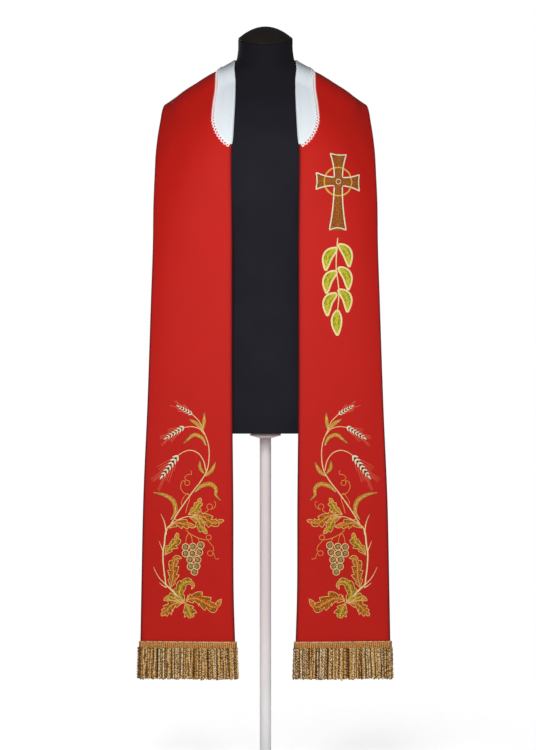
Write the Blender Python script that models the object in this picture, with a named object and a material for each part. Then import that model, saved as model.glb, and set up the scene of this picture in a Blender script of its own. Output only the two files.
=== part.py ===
"""A clerical stole on a limbless dress form, at its real size.

Metres, +Z up. The origin is the centre of the stand's base, on the floor. -Y is the front and +X
is the side that a viewer in front of the stole sees on the right.

The stole is two long panels, joined by a seam behind the neck. Each panel is one surface, worked out
from a table of sections that runs from the hem, up the front, over the shoulder and round to the
back seam. A white neck band with a scalloped lace edge lies on the panels, and a fringe on each hem.
"""

import math
from collections import namedtuple

import bmesh
import bpy
import numpy as np
from mathutils import Vector
from mathutils.bvhtree import BVHTree

MM = 0.001

# Walls and gaps
CLOTH = 1.6 * MM  # a panel: face cloth, stiffening and lining together
BAND_CLOTH = 1.0 * MM  # the white neck band
LACE_CLOTH = 1.0 * MM
REST_GAP = 1.5 * MM  # from the dress form to the cloth that rests on it
REST_EASE = 1.5 * MM  # how softly the cloth lifts off the form
REST_REACH = 6 * MM  # beyond this the form doesn't move the cloth
LAID_GAP = 0.7 * MM  # from a panel to what lies on it
SEAM_GAP = 0.3 * MM  # between pieces that meet

# Heights of the stand and the form
BASE_RADIUS = 0.170
BASE_THICK = 0.008
BASE_RIM = 0.002
POLE_RADIUS = 0.0125
FLANGE_RADIUS = 0.034
FLANGE_THICK = 0.006
TURNED_SIDES = 32
FORM_BOTTOM = 0.744
FORM_SIDES = 40
FORM_STEPS = 2  # rings for each row of the table below

# The dress form, ring by ring from the bottom: half its width, how far it reaches to the front and to
# the back, how square the ring is (2 is an ellipse), and how much the ring rises towards the back.
FormRing = namedtuple("FormRing", "z half_width front back square lean")
FORM_RINGS = [
    FormRing(FORM_BOTTOM, 0.164, 0.098, 0.104, 2.3, 0.00),
    FormRing(0.760, 0.171, 0.103, 0.111, 2.3, 0.00),
    FormRing(0.840, 0.180, 0.106, 0.122, 2.3, 0.00),
    FormRing(0.920, 0.179, 0.105, 0.124, 2.3, 0.00),
    FormRing(1.010, 0.166, 0.101, 0.108, 2.3, 0.00),
    FormRing(1.100, 0.153, 0.099, 0.092, 2.3, 0.00),
    FormRing(1.190, 0.164, 0.109, 0.098, 2.3, 0.00),
    FormRing(1.280, 0.182, 0.119, 0.108, 2.4, 0.00),
    FormRing(1.350, 0.197, 0.115, 0.112, 2.5, 0.00),
    FormRing(1.400, 0.209, 0.103, 0.109, 2.5, 0.00),
    FormRing(1.435, 0.215, 0.089, 0.101, 2.5, 0.00),
    FormRing(1.457, 0.212, 0.078, 0.094, 2.5, 0.00),
    FormRing(1.473, 0.202, 0.071, 0.088, 2.5, 0.00),
    FormRing(1.490, 0.184, 0.066, 0.083, 2.4, 0.00),
    FormRing(1.510, 0.153, 0.063, 0.079, 2.3, 0.00),
    FormRing(1.530, 0.122, 0.061, 0.075, 2.2, 0.02),
    FormRing(1.546, 0.090, 0.060, 0.071, 2.1, 0.05),
    FormRing(1.560, 0.0665, 0.060, 0.067, 2.0, 0.10),
    FormRing(1.582, 0.0610, 0.060, 0.064, 2.0, 0.17),
    FormRing(1.612, 0.0600, 0.059, 0.062, 2.0, 0.256),
]
LEAN_EASE = 5.0  # per metre: a leaning ring is steeper in front than behind
CAP_RISE = 0.0262  # the neck cap's dome over its rim
CAP_RIM = 0.0012
CAP_RINGS = 6

# One side of the stole, section by section from the hem to the seam behind the neck. Each row is the
# place of the inner edge, the place of the outer edge, and how far the cloth bows out between them.
Section = namedtuple("Section", "inner outer bow")
SECTIONS = [
    Section((0.0645, -0.1185, 0.287), (0.2697, -0.1060, 0.287), 0.0030),
    Section((0.0675, -0.1188, 0.380), (0.2680, -0.1055, 0.380), 0.0035),
    Section((0.0687, -0.1192, 0.600), (0.2635, -0.1030, 0.600), 0.0050),
    Section((0.0708, -0.1198, 0.815), (0.2545, -0.0980, 0.815), 0.0070),
    Section((0.0708, -0.1202, 1.030), (0.2475, -0.0900, 1.030), 0.0095),
    Section((0.0708, -0.1202, 1.160), (0.2437, -0.0820, 1.158), 0.0125),
    Section((0.0715, -0.1190, 1.250), (0.2430, -0.0730, 1.246), 0.0150),
    Section((0.0722, -0.1165, 1.315), (0.2408, -0.0640, 1.308), 0.0165),
    Section((0.0718, -0.1110, 1.370), (0.2388, -0.0530, 1.356), 0.0165),
    Section((0.0695, -0.1000, 1.420), (0.2350, -0.0410, 1.396), 0.0140),
    Section((0.0672, -0.0830, 1.466), (0.2305, -0.0280, 1.4280), 0.0105),
    Section((0.0658, -0.0610, 1.508), (0.2275, -0.0150, 1.4505), 0.0065),
    Section((0.0655, -0.0360, 1.542), (0.2240, -0.0020, 1.4625), 0.0045),
    Section((0.0655, -0.0090, 1.560), (0.2200, 0.0120, 1.4670), 0.0035),
    Section((0.0650, 0.0180, 1.566), (0.2140, 0.0280, 1.4655), 0.0035),
    Section((0.0620, 0.0400, 1.568), (0.2040, 0.0460, 1.4590), 0.0040),
    Section((0.0540, 0.0580, 1.569), (0.1860, 0.0660, 1.4470), 0.0050),
    Section((0.0410, 0.0700, 1.570), (0.1570, 0.0840, 1.4320), 0.0055),
    Section((0.0260, 0.0770, 1.570), (0.1170, 0.0980, 1.4150), 0.0060),
    Section((0.0120, 0.0800, 1.570), (0.0610, 0.1080, 1.4010), 0.0060),
    Section((0.0002, 0.0805, 1.570), (0.0002, 0.1120, 1.3940), 0.0060),
]
ShareOfTable = namedtuple("ShareOfTable", "to_row steps")  # how many sections are made for each row
SECTION_STEPS = [ShareOfTable(7, 2), ShareOfTable(17, 3), ShareOfTable(20, 2)]
RUN_STEPS = 40  # steps for each row with which the inner edge's length is measured
SLOPE_STEP = 0.02  # rows to each side of a point from which the cloth's direction is found
ACROSS = (0, 0.05, 0.10, 0.15, 0.20, 0.30, 0.45, 0.60, 0.75, 0.90, 1)  # share of a panel's width

# The neck band: its width, and how its two front ends round off
BAND_WIDTH = 0.0390
BAND_FROM_ROW = 7.96  # where the band starts, counted in rows of SECTIONS
BAND_END_LENGTH = 0.064
BAND_END_ROUND = 1.55
BAND_END_SHARES = (0, 0.03, 0.09, 0.19, 0.32, 0.5, 0.72, 1)
BAND_ROW_APART = 0.1  # least distance, in rows, from the rounded end to the next section
BAND_TIP = 0.003
BAND_SHARES = (0, 0.255, 0.485, 0.715, 1)  # lines along the band, as shares of its width
BAND_BEYOND = 1.0 * MM  # how far it passes the panels' inner edges

# The lace edge on the band
LACE_GAP = 0.8 * MM
LACE_WIDTH = 0.0050  # from the band to the dips between scallops
LACE_SCALLOP = 0.0024  # how far a scallop stands out past its dips
LACE_PITCH = 0.0075
LACE_STEPS = 3  # straight pieces in each scallop
LACE_POINTS = 400  # on the line that the lace follows, closest at its front end
LACE_TURN = 2.5 * MM  # to each side of a point, along the lace, where its direction is found

# The fringe: a woven head on the hem, with strands that hang from it
HEAD_TOP = 0.2976
HEAD_BOTTOM = 0.2828
HEAD_THICK = 0.0022
HEAD_BEYOND = 0.0035  # how far the head passes the panel's edges
STRANDS = 58
STRAND_FILL = 0.68  # share of the pitch that a strand takes
STRAND_END = 0.216
STRAND_STEPS = 2
STRAND_SPREAD = 0.012  # how far the outer strands lean out, as a share of their place
STRAND_SIDEWAYS = 0.2 * MM  # sway in each step, along the hem
STRAND_FORWARD = 0.55 * MM  # sway in each step, to the front and back
STRAND_UNEVEN = 0.9 * MM  # how much longer or shorter a strand can be
STRAND_SEED = 7

SIDES = {"right": 1, "left": -1}


def clear_scene():
    """Removes whatever the file holds at the start."""
    for old in list(bpy.data.objects):
        bpy.data.objects.remove(old)


def material(name, colour, roughness, metallic=0.0):
    """A Principled BSDF of one colour."""
    made = bpy.data.materials.new(name)
    made.use_nodes = True
    shader = made.node_tree.nodes["Principled BSDF"]
    shader.inputs["Base Color"].default_value = (*colour, 1.0)
    shader.inputs["Roughness"].default_value = roughness
    shader.inputs["Metallic"].default_value = metallic
    return made


def add_object(name, bm, finish, smooth=True):
    """Makes the bmesh a named object with its material."""
    mesh = bpy.data.meshes.new(name)
    bm.to_mesh(mesh)
    bm.free()
    mesh.materials.append(finish)
    if smooth:
        mesh.shade_smooth()
        mesh.set_sharp_from_angle(angle=math.radians(40))
    made = bpy.data.objects.new(name, mesh)
    bpy.context.scene.collection.objects.link(made)
    return made


def add_wall(made, thickness):
    """Gives a sheet its thickness, outwards from the side that faces the form."""
    wall = made.modifiers.new("wall", "SOLIDIFY")
    wall.thickness = thickness
    wall.offset = 1.0
    wall.use_even_offset = True


class Track:
    """A smooth curve through the rows of a table. A place on it counts rows, from 0."""

    def __init__(self, rows, spaced_by):
        self.rows = np.array(rows, float)
        places = np.array(spaced_by, float)
        self.gaps = np.linalg.norm(np.diff(places, axis=0), axis=1)
        steps = np.diff(self.rows, axis=0) / self.gaps[:, None]
        before, after = self.gaps[:-1, None], self.gaps[1:, None]
        middle = (steps[:-1] * after + steps[1:] * before) / (before + after)
        self.slopes = np.vstack([steps[:1], middle, steps[-1:]])
        self.last = len(self.rows) - 1

    def at(self, place):
        """The row that the curve passes through at this place."""
        i = min(max(int(place), 0), self.last - 1)
        t, gap = place - i, self.gaps[i]
        return (
            (2 * t**3 - 3 * t**2 + 1) * self.rows[i]
            + (t**3 - 2 * t**2 + t) * gap * self.slopes[i]
            + (3 * t**2 - 2 * t**3) * self.rows[i + 1]
            + (t**3 - t**2) * gap * self.slopes[i + 1]
        )


def signed_power(value, power):
    """The power of the value's size, with the value's sign."""
    return math.copysign(abs(value) ** power, value)


FORM_TRACK = Track(FORM_RINGS, [(r.z, r.half_width) for r in FORM_RINGS])


def form_point(place, angle, spread=1.0):
    """A point on a ring of the form. spread draws the ring in towards its middle."""
    ring = FormRing(*FORM_TRACK.at(place))
    x = ring.half_width * signed_power(math.cos(angle), 2 / ring.square)
    reach = ring.back if math.sin(angle) > 0 else ring.front
    y = reach * signed_power(math.sin(angle), 2 / ring.square)
    rise = ring.lean * y * spread * (1 - LEAN_EASE * y * spread)
    return Vector((x * spread, y * spread, ring.z + rise))


def make_form(finish):
    """The torso with its neck, from a sphere whose circles become the form's rings."""
    levels = (len(FORM_RINGS) - 1) * FORM_STEPS
    bm = bmesh.new()
    bmesh.ops.create_uvsphere(bm, u_segments=FORM_SIDES, v_segments=levels + 2, radius=1)
    for vert in bm.verts:
        level = round(math.acos(min(max(-vert.co.z, -1), 1)) / math.pi * (levels + 2))
        place = min(max(level - 1, 0), levels) / FORM_STEPS
        pole = level in (0, levels + 2)
        vert.co = form_point(place, math.atan2(vert.co.y, vert.co.x), 0.0 if pole else 1.0)
    return add_object("form_torso", bm, finish)


def make_cap(finish):
    """The domed cap on the slanting top of the neck."""
    neck_top = len(FORM_RINGS) - 1
    normal = Vector((0, -FORM_RINGS[-1].lean, 1)).normalized()
    bm = bmesh.new()
    bmesh.ops.create_uvsphere(bm, u_segments=FORM_SIDES, v_segments=CAP_RINGS + 3, radius=1)
    for vert in bm.verts:
        level = round(math.acos(min(max(vert.co.z, -1), 1)) / math.pi * (CAP_RINGS + 3))
        angle = math.atan2(vert.co.y, vert.co.x)
        turn = min(level / (CAP_RINGS + 1), 1) * math.pi / 2
        spread, rise = math.sin(turn), CAP_RIM + CAP_RISE * math.cos(turn) ** 2
        if level > CAP_RINGS + 1:
            spread, rise = float(level == CAP_RINGS + 2), SEAM_GAP
        vert.co = form_point(neck_top, angle, spread) + normal * rise
    return add_object("form_cap", bm, finish)


def turned(name, profile, finish):
    """A round solid, spun from a profile of (radius, height) that runs up its outside."""
    bm = bmesh.new()
    verts = [bm.verts.new((radius, 0, z)) for radius, z in profile]
    edges = [bm.edges.new(pair) for pair in zip(verts, verts[1:])]
    bmesh.ops.spin(
        bm,
        geom=verts + edges,
        axis=(0, 0, 1),
        cent=(0, 0, 0),
        angle=2 * math.pi,
        steps=TURNED_SIDES,
        use_merge=True,
    )
    bmesh.ops.remove_doubles(bm, verts=bm.verts, dist=0.01 * MM)
    bmesh.ops.recalc_face_normals(bm, faces=bm.faces)
    return add_object(name, bm, finish)


def make_stand(finish):
    """A plain round base, and a pole with a flange under the form."""
    turned(
        "stand_base",
        [
            (0, 0),
            (BASE_RADIUS - BASE_RIM, 0),
            (BASE_RADIUS, BASE_RIM),
            (BASE_RADIUS, BASE_THICK - BASE_RIM),
            (BASE_RADIUS - BASE_RIM, BASE_THICK),
            (0, BASE_THICK),
        ],
        finish,
    )
    foot, top = BASE_THICK + SEAM_GAP, FORM_BOTTOM - SEAM_GAP
    turned(
        "stand_pole",
        [
            (0, foot),
            (FLANGE_RADIUS, foot),
            (FLANGE_RADIUS, foot + FLANGE_THICK),
            (POLE_RADIUS, foot + 2 * FLANGE_THICK),
            (POLE_RADIUS, top - 2 * FLANGE_THICK),
            (FLANGE_RADIUS, top - FLANGE_THICK),
            (FLANGE_RADIUS, top),
            (0, top),
        ],
        finish,
    )


class Panel:
    """The surface of one side of the stole, on the side that faces the form."""

    def __init__(self, form):
        middles = [np.add(s.inner, s.outer) / 2 for s in SECTIONS]
        self.track = Track([(*s.inner, *s.outer, s.bow) for s in SECTIONS], middles)
        self.last_row = self.track.last
        bm = bmesh.new()
        bm.from_mesh(form.data)
        self.form = BVHTree.FromBMesh(bm)
        bm.free()
        places = np.linspace(0, self.last_row, RUN_STEPS * self.last_row + 1)
        inner = [self.track.at(p)[:3] for p in places]
        lengths = np.linalg.norm(np.diff(inner, axis=0), axis=1)
        self.places, self.run = places, np.concatenate([[0], np.cumsum(lengths)])

    def row_at(self, distance):
        """The place, in rows, that lies this far along the inner edge from the hem."""
        return float(np.interp(distance, self.run, self.places))

    def distance_at(self, row):
        """How far along the inner edge, from the hem, a place in rows lies."""
        return float(np.interp(row, self.places, self.run))

    def width(self, row):
        """The panel's width at a place in rows."""
        values = self.track.at(row)
        return float(np.linalg.norm(values[3:6] - values[:3]))

    def free_point(self, row, across):
        """The point before the form holds it up, and the direction out of the cloth."""
        values = self.track.at(row)
        ahead = self.track.at(min(row + SLOPE_STEP, self.last_row))
        behind = self.track.at(max(row - SLOPE_STEP, 0))
        along = (1 - across) * (ahead - behind)[:3] + across * (ahead - behind)[3:6]
        chord = values[3:6] - values[:3]
        out = Vector(chord).cross(Vector(along)).normalized()
        bow = values[6] * 4 * across * (1 - across) if 0 < across < 1 else 0
        return Vector(values[:3] + chord * across) + out * bow, out

    def point(self, row, across, lift=0.0, side=1):
        """A point lifted off the surface. side -1 is the same point on the other panel."""
        place, out = self.free_point(row, across)
        nearest, normal, _, _ = self.form.find_nearest(place)
        clear = (place - nearest).dot(normal)
        eased = 0.5 * (clear + REST_GAP + math.hypot(clear - REST_GAP, REST_EASE))
        if clear < REST_REACH:
            place = place + normal * (eased - clear)
        place = place + out * lift
        return Vector((side * place.x, place.y, place.z))


def make_sheet(name, rows, columns, place, finish, thickness, flip):
    """A grid whose point (row, column) goes where place says, with a wall's thickness."""
    bm = bmesh.new()
    bmesh.ops.create_grid(bm, x_segments=columns - 1, y_segments=rows - 1, size=1)
    for vert in bm.verts:
        column = round((vert.co.x + 1) / 2 * (columns - 1))
        row = round((vert.co.y + 1) / 2 * (rows - 1))
        vert.co = place(row, column)
    if flip:
        bmesh.ops.reverse_faces(bm, faces=bm.faces)
    made = add_object(name, bm, finish)
    add_wall(made, thickness)
    return made


def section_rows():
    """The places, in rows of SECTIONS, of the sections that are made."""
    rows = [0.0]
    for to_row, steps in SECTION_STEPS:
        start = rows[-1]
        rows += [start + (i + 1) / steps for i in range(round((to_row - start) * steps))]
    return rows


def make_panel(panel, side_name, finish):
    """One panel, from its hem to the seam behind the neck."""
    side = SIDES[side_name]
    rows = section_rows()

    def place(row, column):
        return panel.point(rows[row], ACROSS[column], side=side)

    make_sheet(f"panel_{side_name}", len(rows), len(ACROSS), place, finish, CLOTH, side < 0)


def band_rows(panel):
    """The rows of the band on one side, from its front end to the back seam."""
    start = panel.distance_at(BAND_FROM_ROW)
    rows = [panel.row_at(start + share * BAND_END_LENGTH) for share in BAND_END_SHARES]
    return rows + [row for row in section_rows() if row > rows[-1] + BAND_ROW_APART]


def band_width(panel, row):
    """The band's width, which rounds off to a tip at its front end."""
    past = (panel.distance_at(row) - panel.distance_at(BAND_FROM_ROW)) / BAND_END_LENGTH
    rounded = 1 - (1 - min(max(past, 0), 1)) ** BAND_END_ROUND
    return max(BAND_WIDTH * rounded ** (1 / BAND_END_ROUND), BAND_TIP)


def make_band(panel, finish):
    """The white neck band, laid on both panels round the neck."""
    half = band_rows(panel)
    stations = [(row, 1) for row in half] + [(row, -1) for row in reversed(half[:-1])]

    def place(row, column):
        at, side = stations[row]
        distance = BAND_SHARES[column] * (band_width(panel, at) + BAND_BEYOND) - BAND_BEYOND
        return panel.point(at, distance / panel.width(at), CLOTH + LAID_GAP, side)

    make_sheet("neck_band", len(stations), len(BAND_SHARES), place, finish, BAND_CLOTH, False)


def lace_line(panel):
    """Points (distance along the inner edge, distance across) on the band's outer edge."""
    start = panel.distance_at(BAND_FROM_ROW)
    end = panel.distance_at(panel.last_row)
    distances = start + (end - start) * np.linspace(0, 1, LACE_POINTS) ** 2
    return np.array([(d, band_width(panel, panel.row_at(d))) for d in distances])


def lace_stations(panel):
    """Evenly spaced (place, direction out, scallop share) along the lace of one side."""
    line = lace_line(panel)
    run = np.concatenate([[0], np.cumsum(np.linalg.norm(np.diff(line, axis=0), axis=1))])
    scallops = round(run[-1] / LACE_PITCH)
    stations = []
    for i in range(scallops * LACE_STEPS + 1):
        at = run[-1] * i / (scallops * LACE_STEPS)
        here = np.array([np.interp(at, run, line[:, k]) for k in (0, 1)])
        ahead = np.array([np.interp(at + LACE_TURN, run, line[:, k]) for k in (0, 1)])
        behind = np.array([np.interp(at - LACE_TURN, run, line[:, k]) for k in (0, 1)])
        along = (ahead - behind) / np.linalg.norm(ahead - behind)
        out = np.array([-along[1], along[0]])
        scallop = abs(math.sin(math.pi * i / LACE_STEPS))
        stations.append((here, out, scallop))
    return stations


def make_lace(panel, finish):
    """The scalloped lace along the outer edge of the band, lying on the panels."""
    half = lace_stations(panel)
    stations = [(s, 1) for s in half] + [(s, -1) for s in reversed(half[:-1])]

    def place(row, column):
        (here, out, scallop), side = stations[row]
        reach = LACE_GAP if column == 0 else LACE_WIDTH + LACE_SCALLOP * scallop
        distance, across = here + out * reach
        at = panel.row_at(distance)
        lift = CLOTH + LAID_GAP
        return panel.point(at, across / panel.width(at), lift, side)

    make_sheet("neck_lace", len(stations), 2, place, finish, LACE_CLOTH, False)


def fringe_point(panel, side, share, height, depth):
    """A point of the fringe: share across the head, height above the floor, depth off the panel."""
    width = panel.width(0)
    across = (share * (width + 2 * HEAD_BEYOND) - HEAD_BEYOND) / width
    row = max(height - SECTIONS[0].inner[2], 0) / (SECTIONS[1].inner[2] - SECTIONS[0].inner[2])
    on_cloth = panel.point(row, across, CLOTH + LAID_GAP + depth, side)
    return Vector((on_cloth.x, on_cloth.y, height))


def make_fringe(panel, side_name, finish):
    """The woven head and the strands fused into its lower edge, as one closed body."""
    side = SIDES[side_name]
    rng = np.random.default_rng(STRAND_SEED)
    columns = 2 * STRANDS - 1
    bm = bmesh.new()
    bmesh.ops.create_cube(bm, size=2)
    long_edges = [e for e in bm.edges if abs(e.verts[0].co.x - e.verts[1].co.x) > 1]
    bmesh.ops.subdivide_edges(bm, edges=long_edges, cuts=columns - 1, use_grid_fill=True)
    for vert in bm.verts:
        column = round((vert.co.x + 1) / 2 * columns)
        share = (column // 2 + (column % 2) * STRAND_FILL) / (STRANDS - 1 + STRAND_FILL)
        height = HEAD_TOP if vert.co.z > 0 else HEAD_BOTTOM
        depth = HEAD_THICK if vert.co.y < 0 else 0.0
        vert.co = fringe_point(panel, side, share, height, depth)
    under = [f for f in bm.faces if all(abs(v.co.z - HEAD_BOTTOM) < 0.1 * MM for v in f.verts)]
    under.sort(key=lambda face: side * face.calc_center_median().x)
    middle = fringe_point(panel, side, 0.5, HEAD_BOTTOM, 0).x
    length = (HEAD_BOTTOM - STRAND_END) / STRAND_STEPS
    for root in under[::2]:
        face = root
        lean = (face.calc_center_median().x - middle) * STRAND_SPREAD
        uneven = rng.uniform(-STRAND_UNEVEN, STRAND_UNEVEN) / STRAND_STEPS
        for _ in range(STRAND_STEPS):
            face = bmesh.ops.extrude_discrete_faces(bm, faces=[face])["faces"][0]
            sideways = side * rng.normal(0, STRAND_SIDEWAYS)
            move = (lean + sideways, rng.normal(0, STRAND_FORWARD), -length - uneven)
            bmesh.ops.translate(bm, verts=face.verts, vec=move)
    if side < 0:
        bmesh.ops.reverse_faces(bm, faces=bm.faces)
    add_object(f"fringe_{side_name}", bm, finish, smooth=False)


def main():
    """Builds every piece."""
    clear_scene()
    red = material("red_cloth", (0.45, 0.012, 0.010), 0.75)
    white = material("white_cloth", (0.80, 0.83, 0.86), 0.60)
    lace = material("white_lace", (0.85, 0.84, 0.84), 0.70)
    gold = material("gold_thread", (0.52, 0.34, 0.12), 0.40, 0.3)
    jersey = material("black_jersey", (0.012, 0.012, 0.018), 0.85)
    cap = material("black_cap", (0.014, 0.011, 0.009), 0.45)
    lacquer = material("white_lacquer", (0.85, 0.85, 0.85), 0.30)
    form = make_form(jersey)
    make_cap(cap)
    make_stand(lacquer)
    panel = Panel(form)
    for side_name in SIDES:
        make_panel(panel, side_name, red)
        make_fringe(panel, side_name, gold)
    make_band(panel, white)
    make_lace(panel, lace)


main()
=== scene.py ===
"""Looks of a clerical stole that hangs on a limbless dress form.

The stole is two long red panels that meet in a seam behind the neck. Each panel is one surface,
worked out from a table of sections, and everything sewn on it (the white neck band with its lace,
the embroidery and the fringe) is placed in the panel's own measures: so far across from the inner
edge, and so far along from the hem. Metres, +Z up, -Y is the front.
"""

import logging
import math
from dataclasses import dataclass, field
from enum import Enum
from typing import Iterable, NamedTuple, Sequence, Union

import bmesh
import bpy
import numpy as np
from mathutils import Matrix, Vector
from mathutils.bvhtree import BVHTree


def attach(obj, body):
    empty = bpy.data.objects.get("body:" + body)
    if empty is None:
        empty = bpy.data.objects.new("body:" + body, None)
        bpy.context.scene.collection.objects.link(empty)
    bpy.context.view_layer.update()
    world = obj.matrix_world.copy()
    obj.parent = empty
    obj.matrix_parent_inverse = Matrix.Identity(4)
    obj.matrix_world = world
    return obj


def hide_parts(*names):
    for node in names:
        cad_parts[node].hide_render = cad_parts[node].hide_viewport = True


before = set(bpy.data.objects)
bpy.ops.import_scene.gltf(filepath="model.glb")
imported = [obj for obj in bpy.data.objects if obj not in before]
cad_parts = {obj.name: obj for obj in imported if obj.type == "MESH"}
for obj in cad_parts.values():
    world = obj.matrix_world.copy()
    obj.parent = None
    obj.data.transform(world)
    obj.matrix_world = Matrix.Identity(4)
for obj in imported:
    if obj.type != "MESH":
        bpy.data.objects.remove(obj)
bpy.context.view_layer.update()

MM = 0.001
WELD = 0.001 * MM  # points closer than this become one
LOG = logging.getLogger("stole")

Array = np.ndarray
Mesh = bmesh.types.BMesh
Vert = bmesh.types.BMVert
Material = bpy.types.Material
Node = bpy.types.Node
Piece = bpy.types.Object
Socket = bpy.types.NodeSocket
Colour = tuple[float, float, float]
Point = tuple[float, float, float]
Place = tuple[float, float]
Span = Union[float, Array]


class Side(Enum):
    """A side of the stole, as a viewer in front of it sees it."""

    RIGHT = 1
    LEFT = -1

    @property
    def word(self) -> str:
        """The side's name in the names of pieces."""
        return self.name.lower()


class FormRing(NamedTuple):
    """One ring of the dress form."""

    z: float
    half_width: float
    front: float
    back: float
    square: float
    lean: float


class Section(NamedTuple):
    """One section of a side of the stole: its two edges, and how far it bows out between them."""

    inner: Point
    outer: Point
    bow: float


FORM_RINGS = tuple(FormRing(*row) for row in (
    (0.744, 0.164, 0.098, 0.104, 2.3, 0.00), (0.760, 0.171, 0.103, 0.111, 2.3, 0.00),
    (0.840, 0.180, 0.106, 0.122, 2.3, 0.00), (0.920, 0.179, 0.105, 0.124, 2.3, 0.00),
    (1.010, 0.166, 0.101, 0.108, 2.3, 0.00), (1.100, 0.153, 0.099, 0.092, 2.3, 0.00),
    (1.190, 0.164, 0.109, 0.098, 2.3, 0.00), (1.280, 0.182, 0.119, 0.108, 2.4, 0.00),
    (1.350, 0.197, 0.115, 0.112, 2.5, 0.00), (1.400, 0.209, 0.103, 0.109, 2.5, 0.00),
    (1.435, 0.215, 0.089, 0.101, 2.5, 0.00), (1.457, 0.212, 0.078, 0.094, 2.5, 0.00),
    (1.473, 0.202, 0.071, 0.088, 2.5, 0.00), (1.490, 0.184, 0.066, 0.083, 2.4, 0.00),
    (1.510, 0.153, 0.063, 0.079, 2.3, 0.00), (1.530, 0.122, 0.061, 0.075, 2.2, 0.02),
    (1.546, 0.090, 0.060, 0.071, 2.1, 0.05), (1.560, 0.0665, 0.060, 0.067, 2.0, 0.10),
    (1.582, 0.0610, 0.060, 0.064, 2.0, 0.17), (1.612, 0.0600, 0.059, 0.062, 2.0, 0.256),
))

SECTIONS = tuple(Section(row[:3], row[3:6], row[6]) for row in (
    (0.0645, -0.1185, 0.287, 0.2697, -0.1060, 0.287, 0.0030),
    (0.0675, -0.1188, 0.380, 0.2680, -0.1055, 0.380, 0.0035),
    (0.0687, -0.1192, 0.600, 0.2635, -0.1030, 0.600, 0.0050),
    (0.0708, -0.1198, 0.815, 0.2545, -0.0980, 0.815, 0.0070),
    (0.0708, -0.1202, 1.030, 0.2475, -0.0900, 1.030, 0.0095),
    (0.0708, -0.1202, 1.160, 0.2437, -0.0820, 1.158, 0.0125),
    (0.0715, -0.1190, 1.250, 0.2430, -0.0730, 1.246, 0.0150),
    (0.0722, -0.1165, 1.315, 0.2408, -0.0640, 1.308, 0.0165),
    (0.0718, -0.1110, 1.370, 0.2388, -0.0530, 1.356, 0.0165),
    (0.0695, -0.1000, 1.420, 0.2350, -0.0410, 1.396, 0.0140),
    (0.0672, -0.0830, 1.466, 0.2305, -0.0280, 1.4280, 0.0105),
    (0.0658, -0.0610, 1.508, 0.2275, -0.0150, 1.4505, 0.0065),
    (0.0655, -0.0360, 1.542, 0.2240, -0.0020, 1.4625, 0.0045),
    (0.0655, -0.0090, 1.560, 0.2200, 0.0120, 1.4670, 0.0035),
    (0.0650, 0.0180, 1.566, 0.2140, 0.0280, 1.4655, 0.0035),
    (0.0620, 0.0400, 1.568, 0.2040, 0.0460, 1.4590, 0.0040),
    (0.0540, 0.0580, 1.569, 0.1860, 0.0660, 1.4470, 0.0050),
    (0.0410, 0.0700, 1.570, 0.1570, 0.0840, 1.4320, 0.0055),
    (0.0260, 0.0770, 1.570, 0.1170, 0.0980, 1.4150, 0.0060),
    (0.0120, 0.0800, 1.570, 0.0610, 0.1080, 1.4010, 0.0060),
    (0.0002, 0.0805, 1.570, 0.0002, 0.1120, 1.3940, 0.0060),
))


class Track:
    """A smooth curve through the rows of a table. A place on it counts rows, from 0."""

    def __init__(self, rows: Sequence[Sequence[float]], spaced_by: Sequence[Sequence[float]]) -> None:
        """Works out the slope at each row.

        Args:
            rows: the values that the curve passes through.
            spaced_by: a point for each row, whose distances space the rows.
        """
        self.rows = np.array(rows, float)
        self.gaps = np.linalg.norm(np.diff(np.array(spaced_by, float), axis=0), axis=1)
        steps = np.diff(self.rows, axis=0) / self.gaps[:, None]
        before, after = self.gaps[:-1, None], self.gaps[1:, None]
        middle = (steps[:-1] * after + steps[1:] * before) / (before + after)
        self.slopes = np.vstack([steps[:1], middle, steps[-1:]])
        self.last = len(self.rows) - 1

    def at(self, places: Array) -> Array:
        """The values at these places.

        Args:
            places: places on the curve, in rows.

        Returns:
            One row of values for each place.
        """
        places = np.atleast_1d(np.asarray(places, float))
        i = np.clip(places.astype(int), 0, self.last - 1)
        t = (places - i)[:, None]
        gap = self.gaps[i][:, None]
        return (
            (2 * t**3 - 3 * t**2 + 1) * self.rows[i]
            + (t**3 - 2 * t**2 + t) * gap * self.slopes[i]
            + (3 * t**2 - 2 * t**3) * self.rows[i + 1]
            + (t**3 - t**2) * gap * self.slopes[i + 1]
        )


def smooth_step(values: Array, low: float, high: float) -> Array:
    """Rises smoothly from 0 at low to 1 at high."""
    t = np.clip((values - low) / (high - low), 0, 1)
    return t * t * (3 - 2 * t)


def run_length(points: Array) -> Array:
    """The distance along a line of points, from its first one."""
    return np.concatenate([[0], np.cumsum(np.linalg.norm(np.diff(points, axis=0), axis=1))])


def pairs(first: Array, second: Array) -> Array:
    """Two arrays as one array of pairs, once they are spread to the same shape."""
    return np.stack(np.broadcast_arrays(first, second), axis=-1)


def unit(vectors: Array) -> Array:
    """The vectors at a length of 1."""
    return vectors / np.maximum(np.linalg.norm(vectors, axis=-1, keepdims=True), 1e-9)


def even_steps(line: Array, count: int) -> Array:
    """The same line in so many even steps."""
    run = run_length(line)
    wanted = np.linspace(0, run[-1], count + 1)
    return np.stack([np.interp(wanted, run, column) for column in line.T], axis=1)


def smooth_line(points: Sequence[Place], step: float) -> Array:
    """A smooth line through a few points, with points about a step apart.

    Args:
        points: the places that the line passes through.
        step: the distance between the points that are returned.

    Returns:
        The line's points, one a row.
    """
    track = Track(points, points)
    fine = track.at(np.linspace(0, track.last, 24 * track.last + 1))
    return even_steps(fine, max(4, round(run_length(fine)[-1] / step)))


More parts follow.
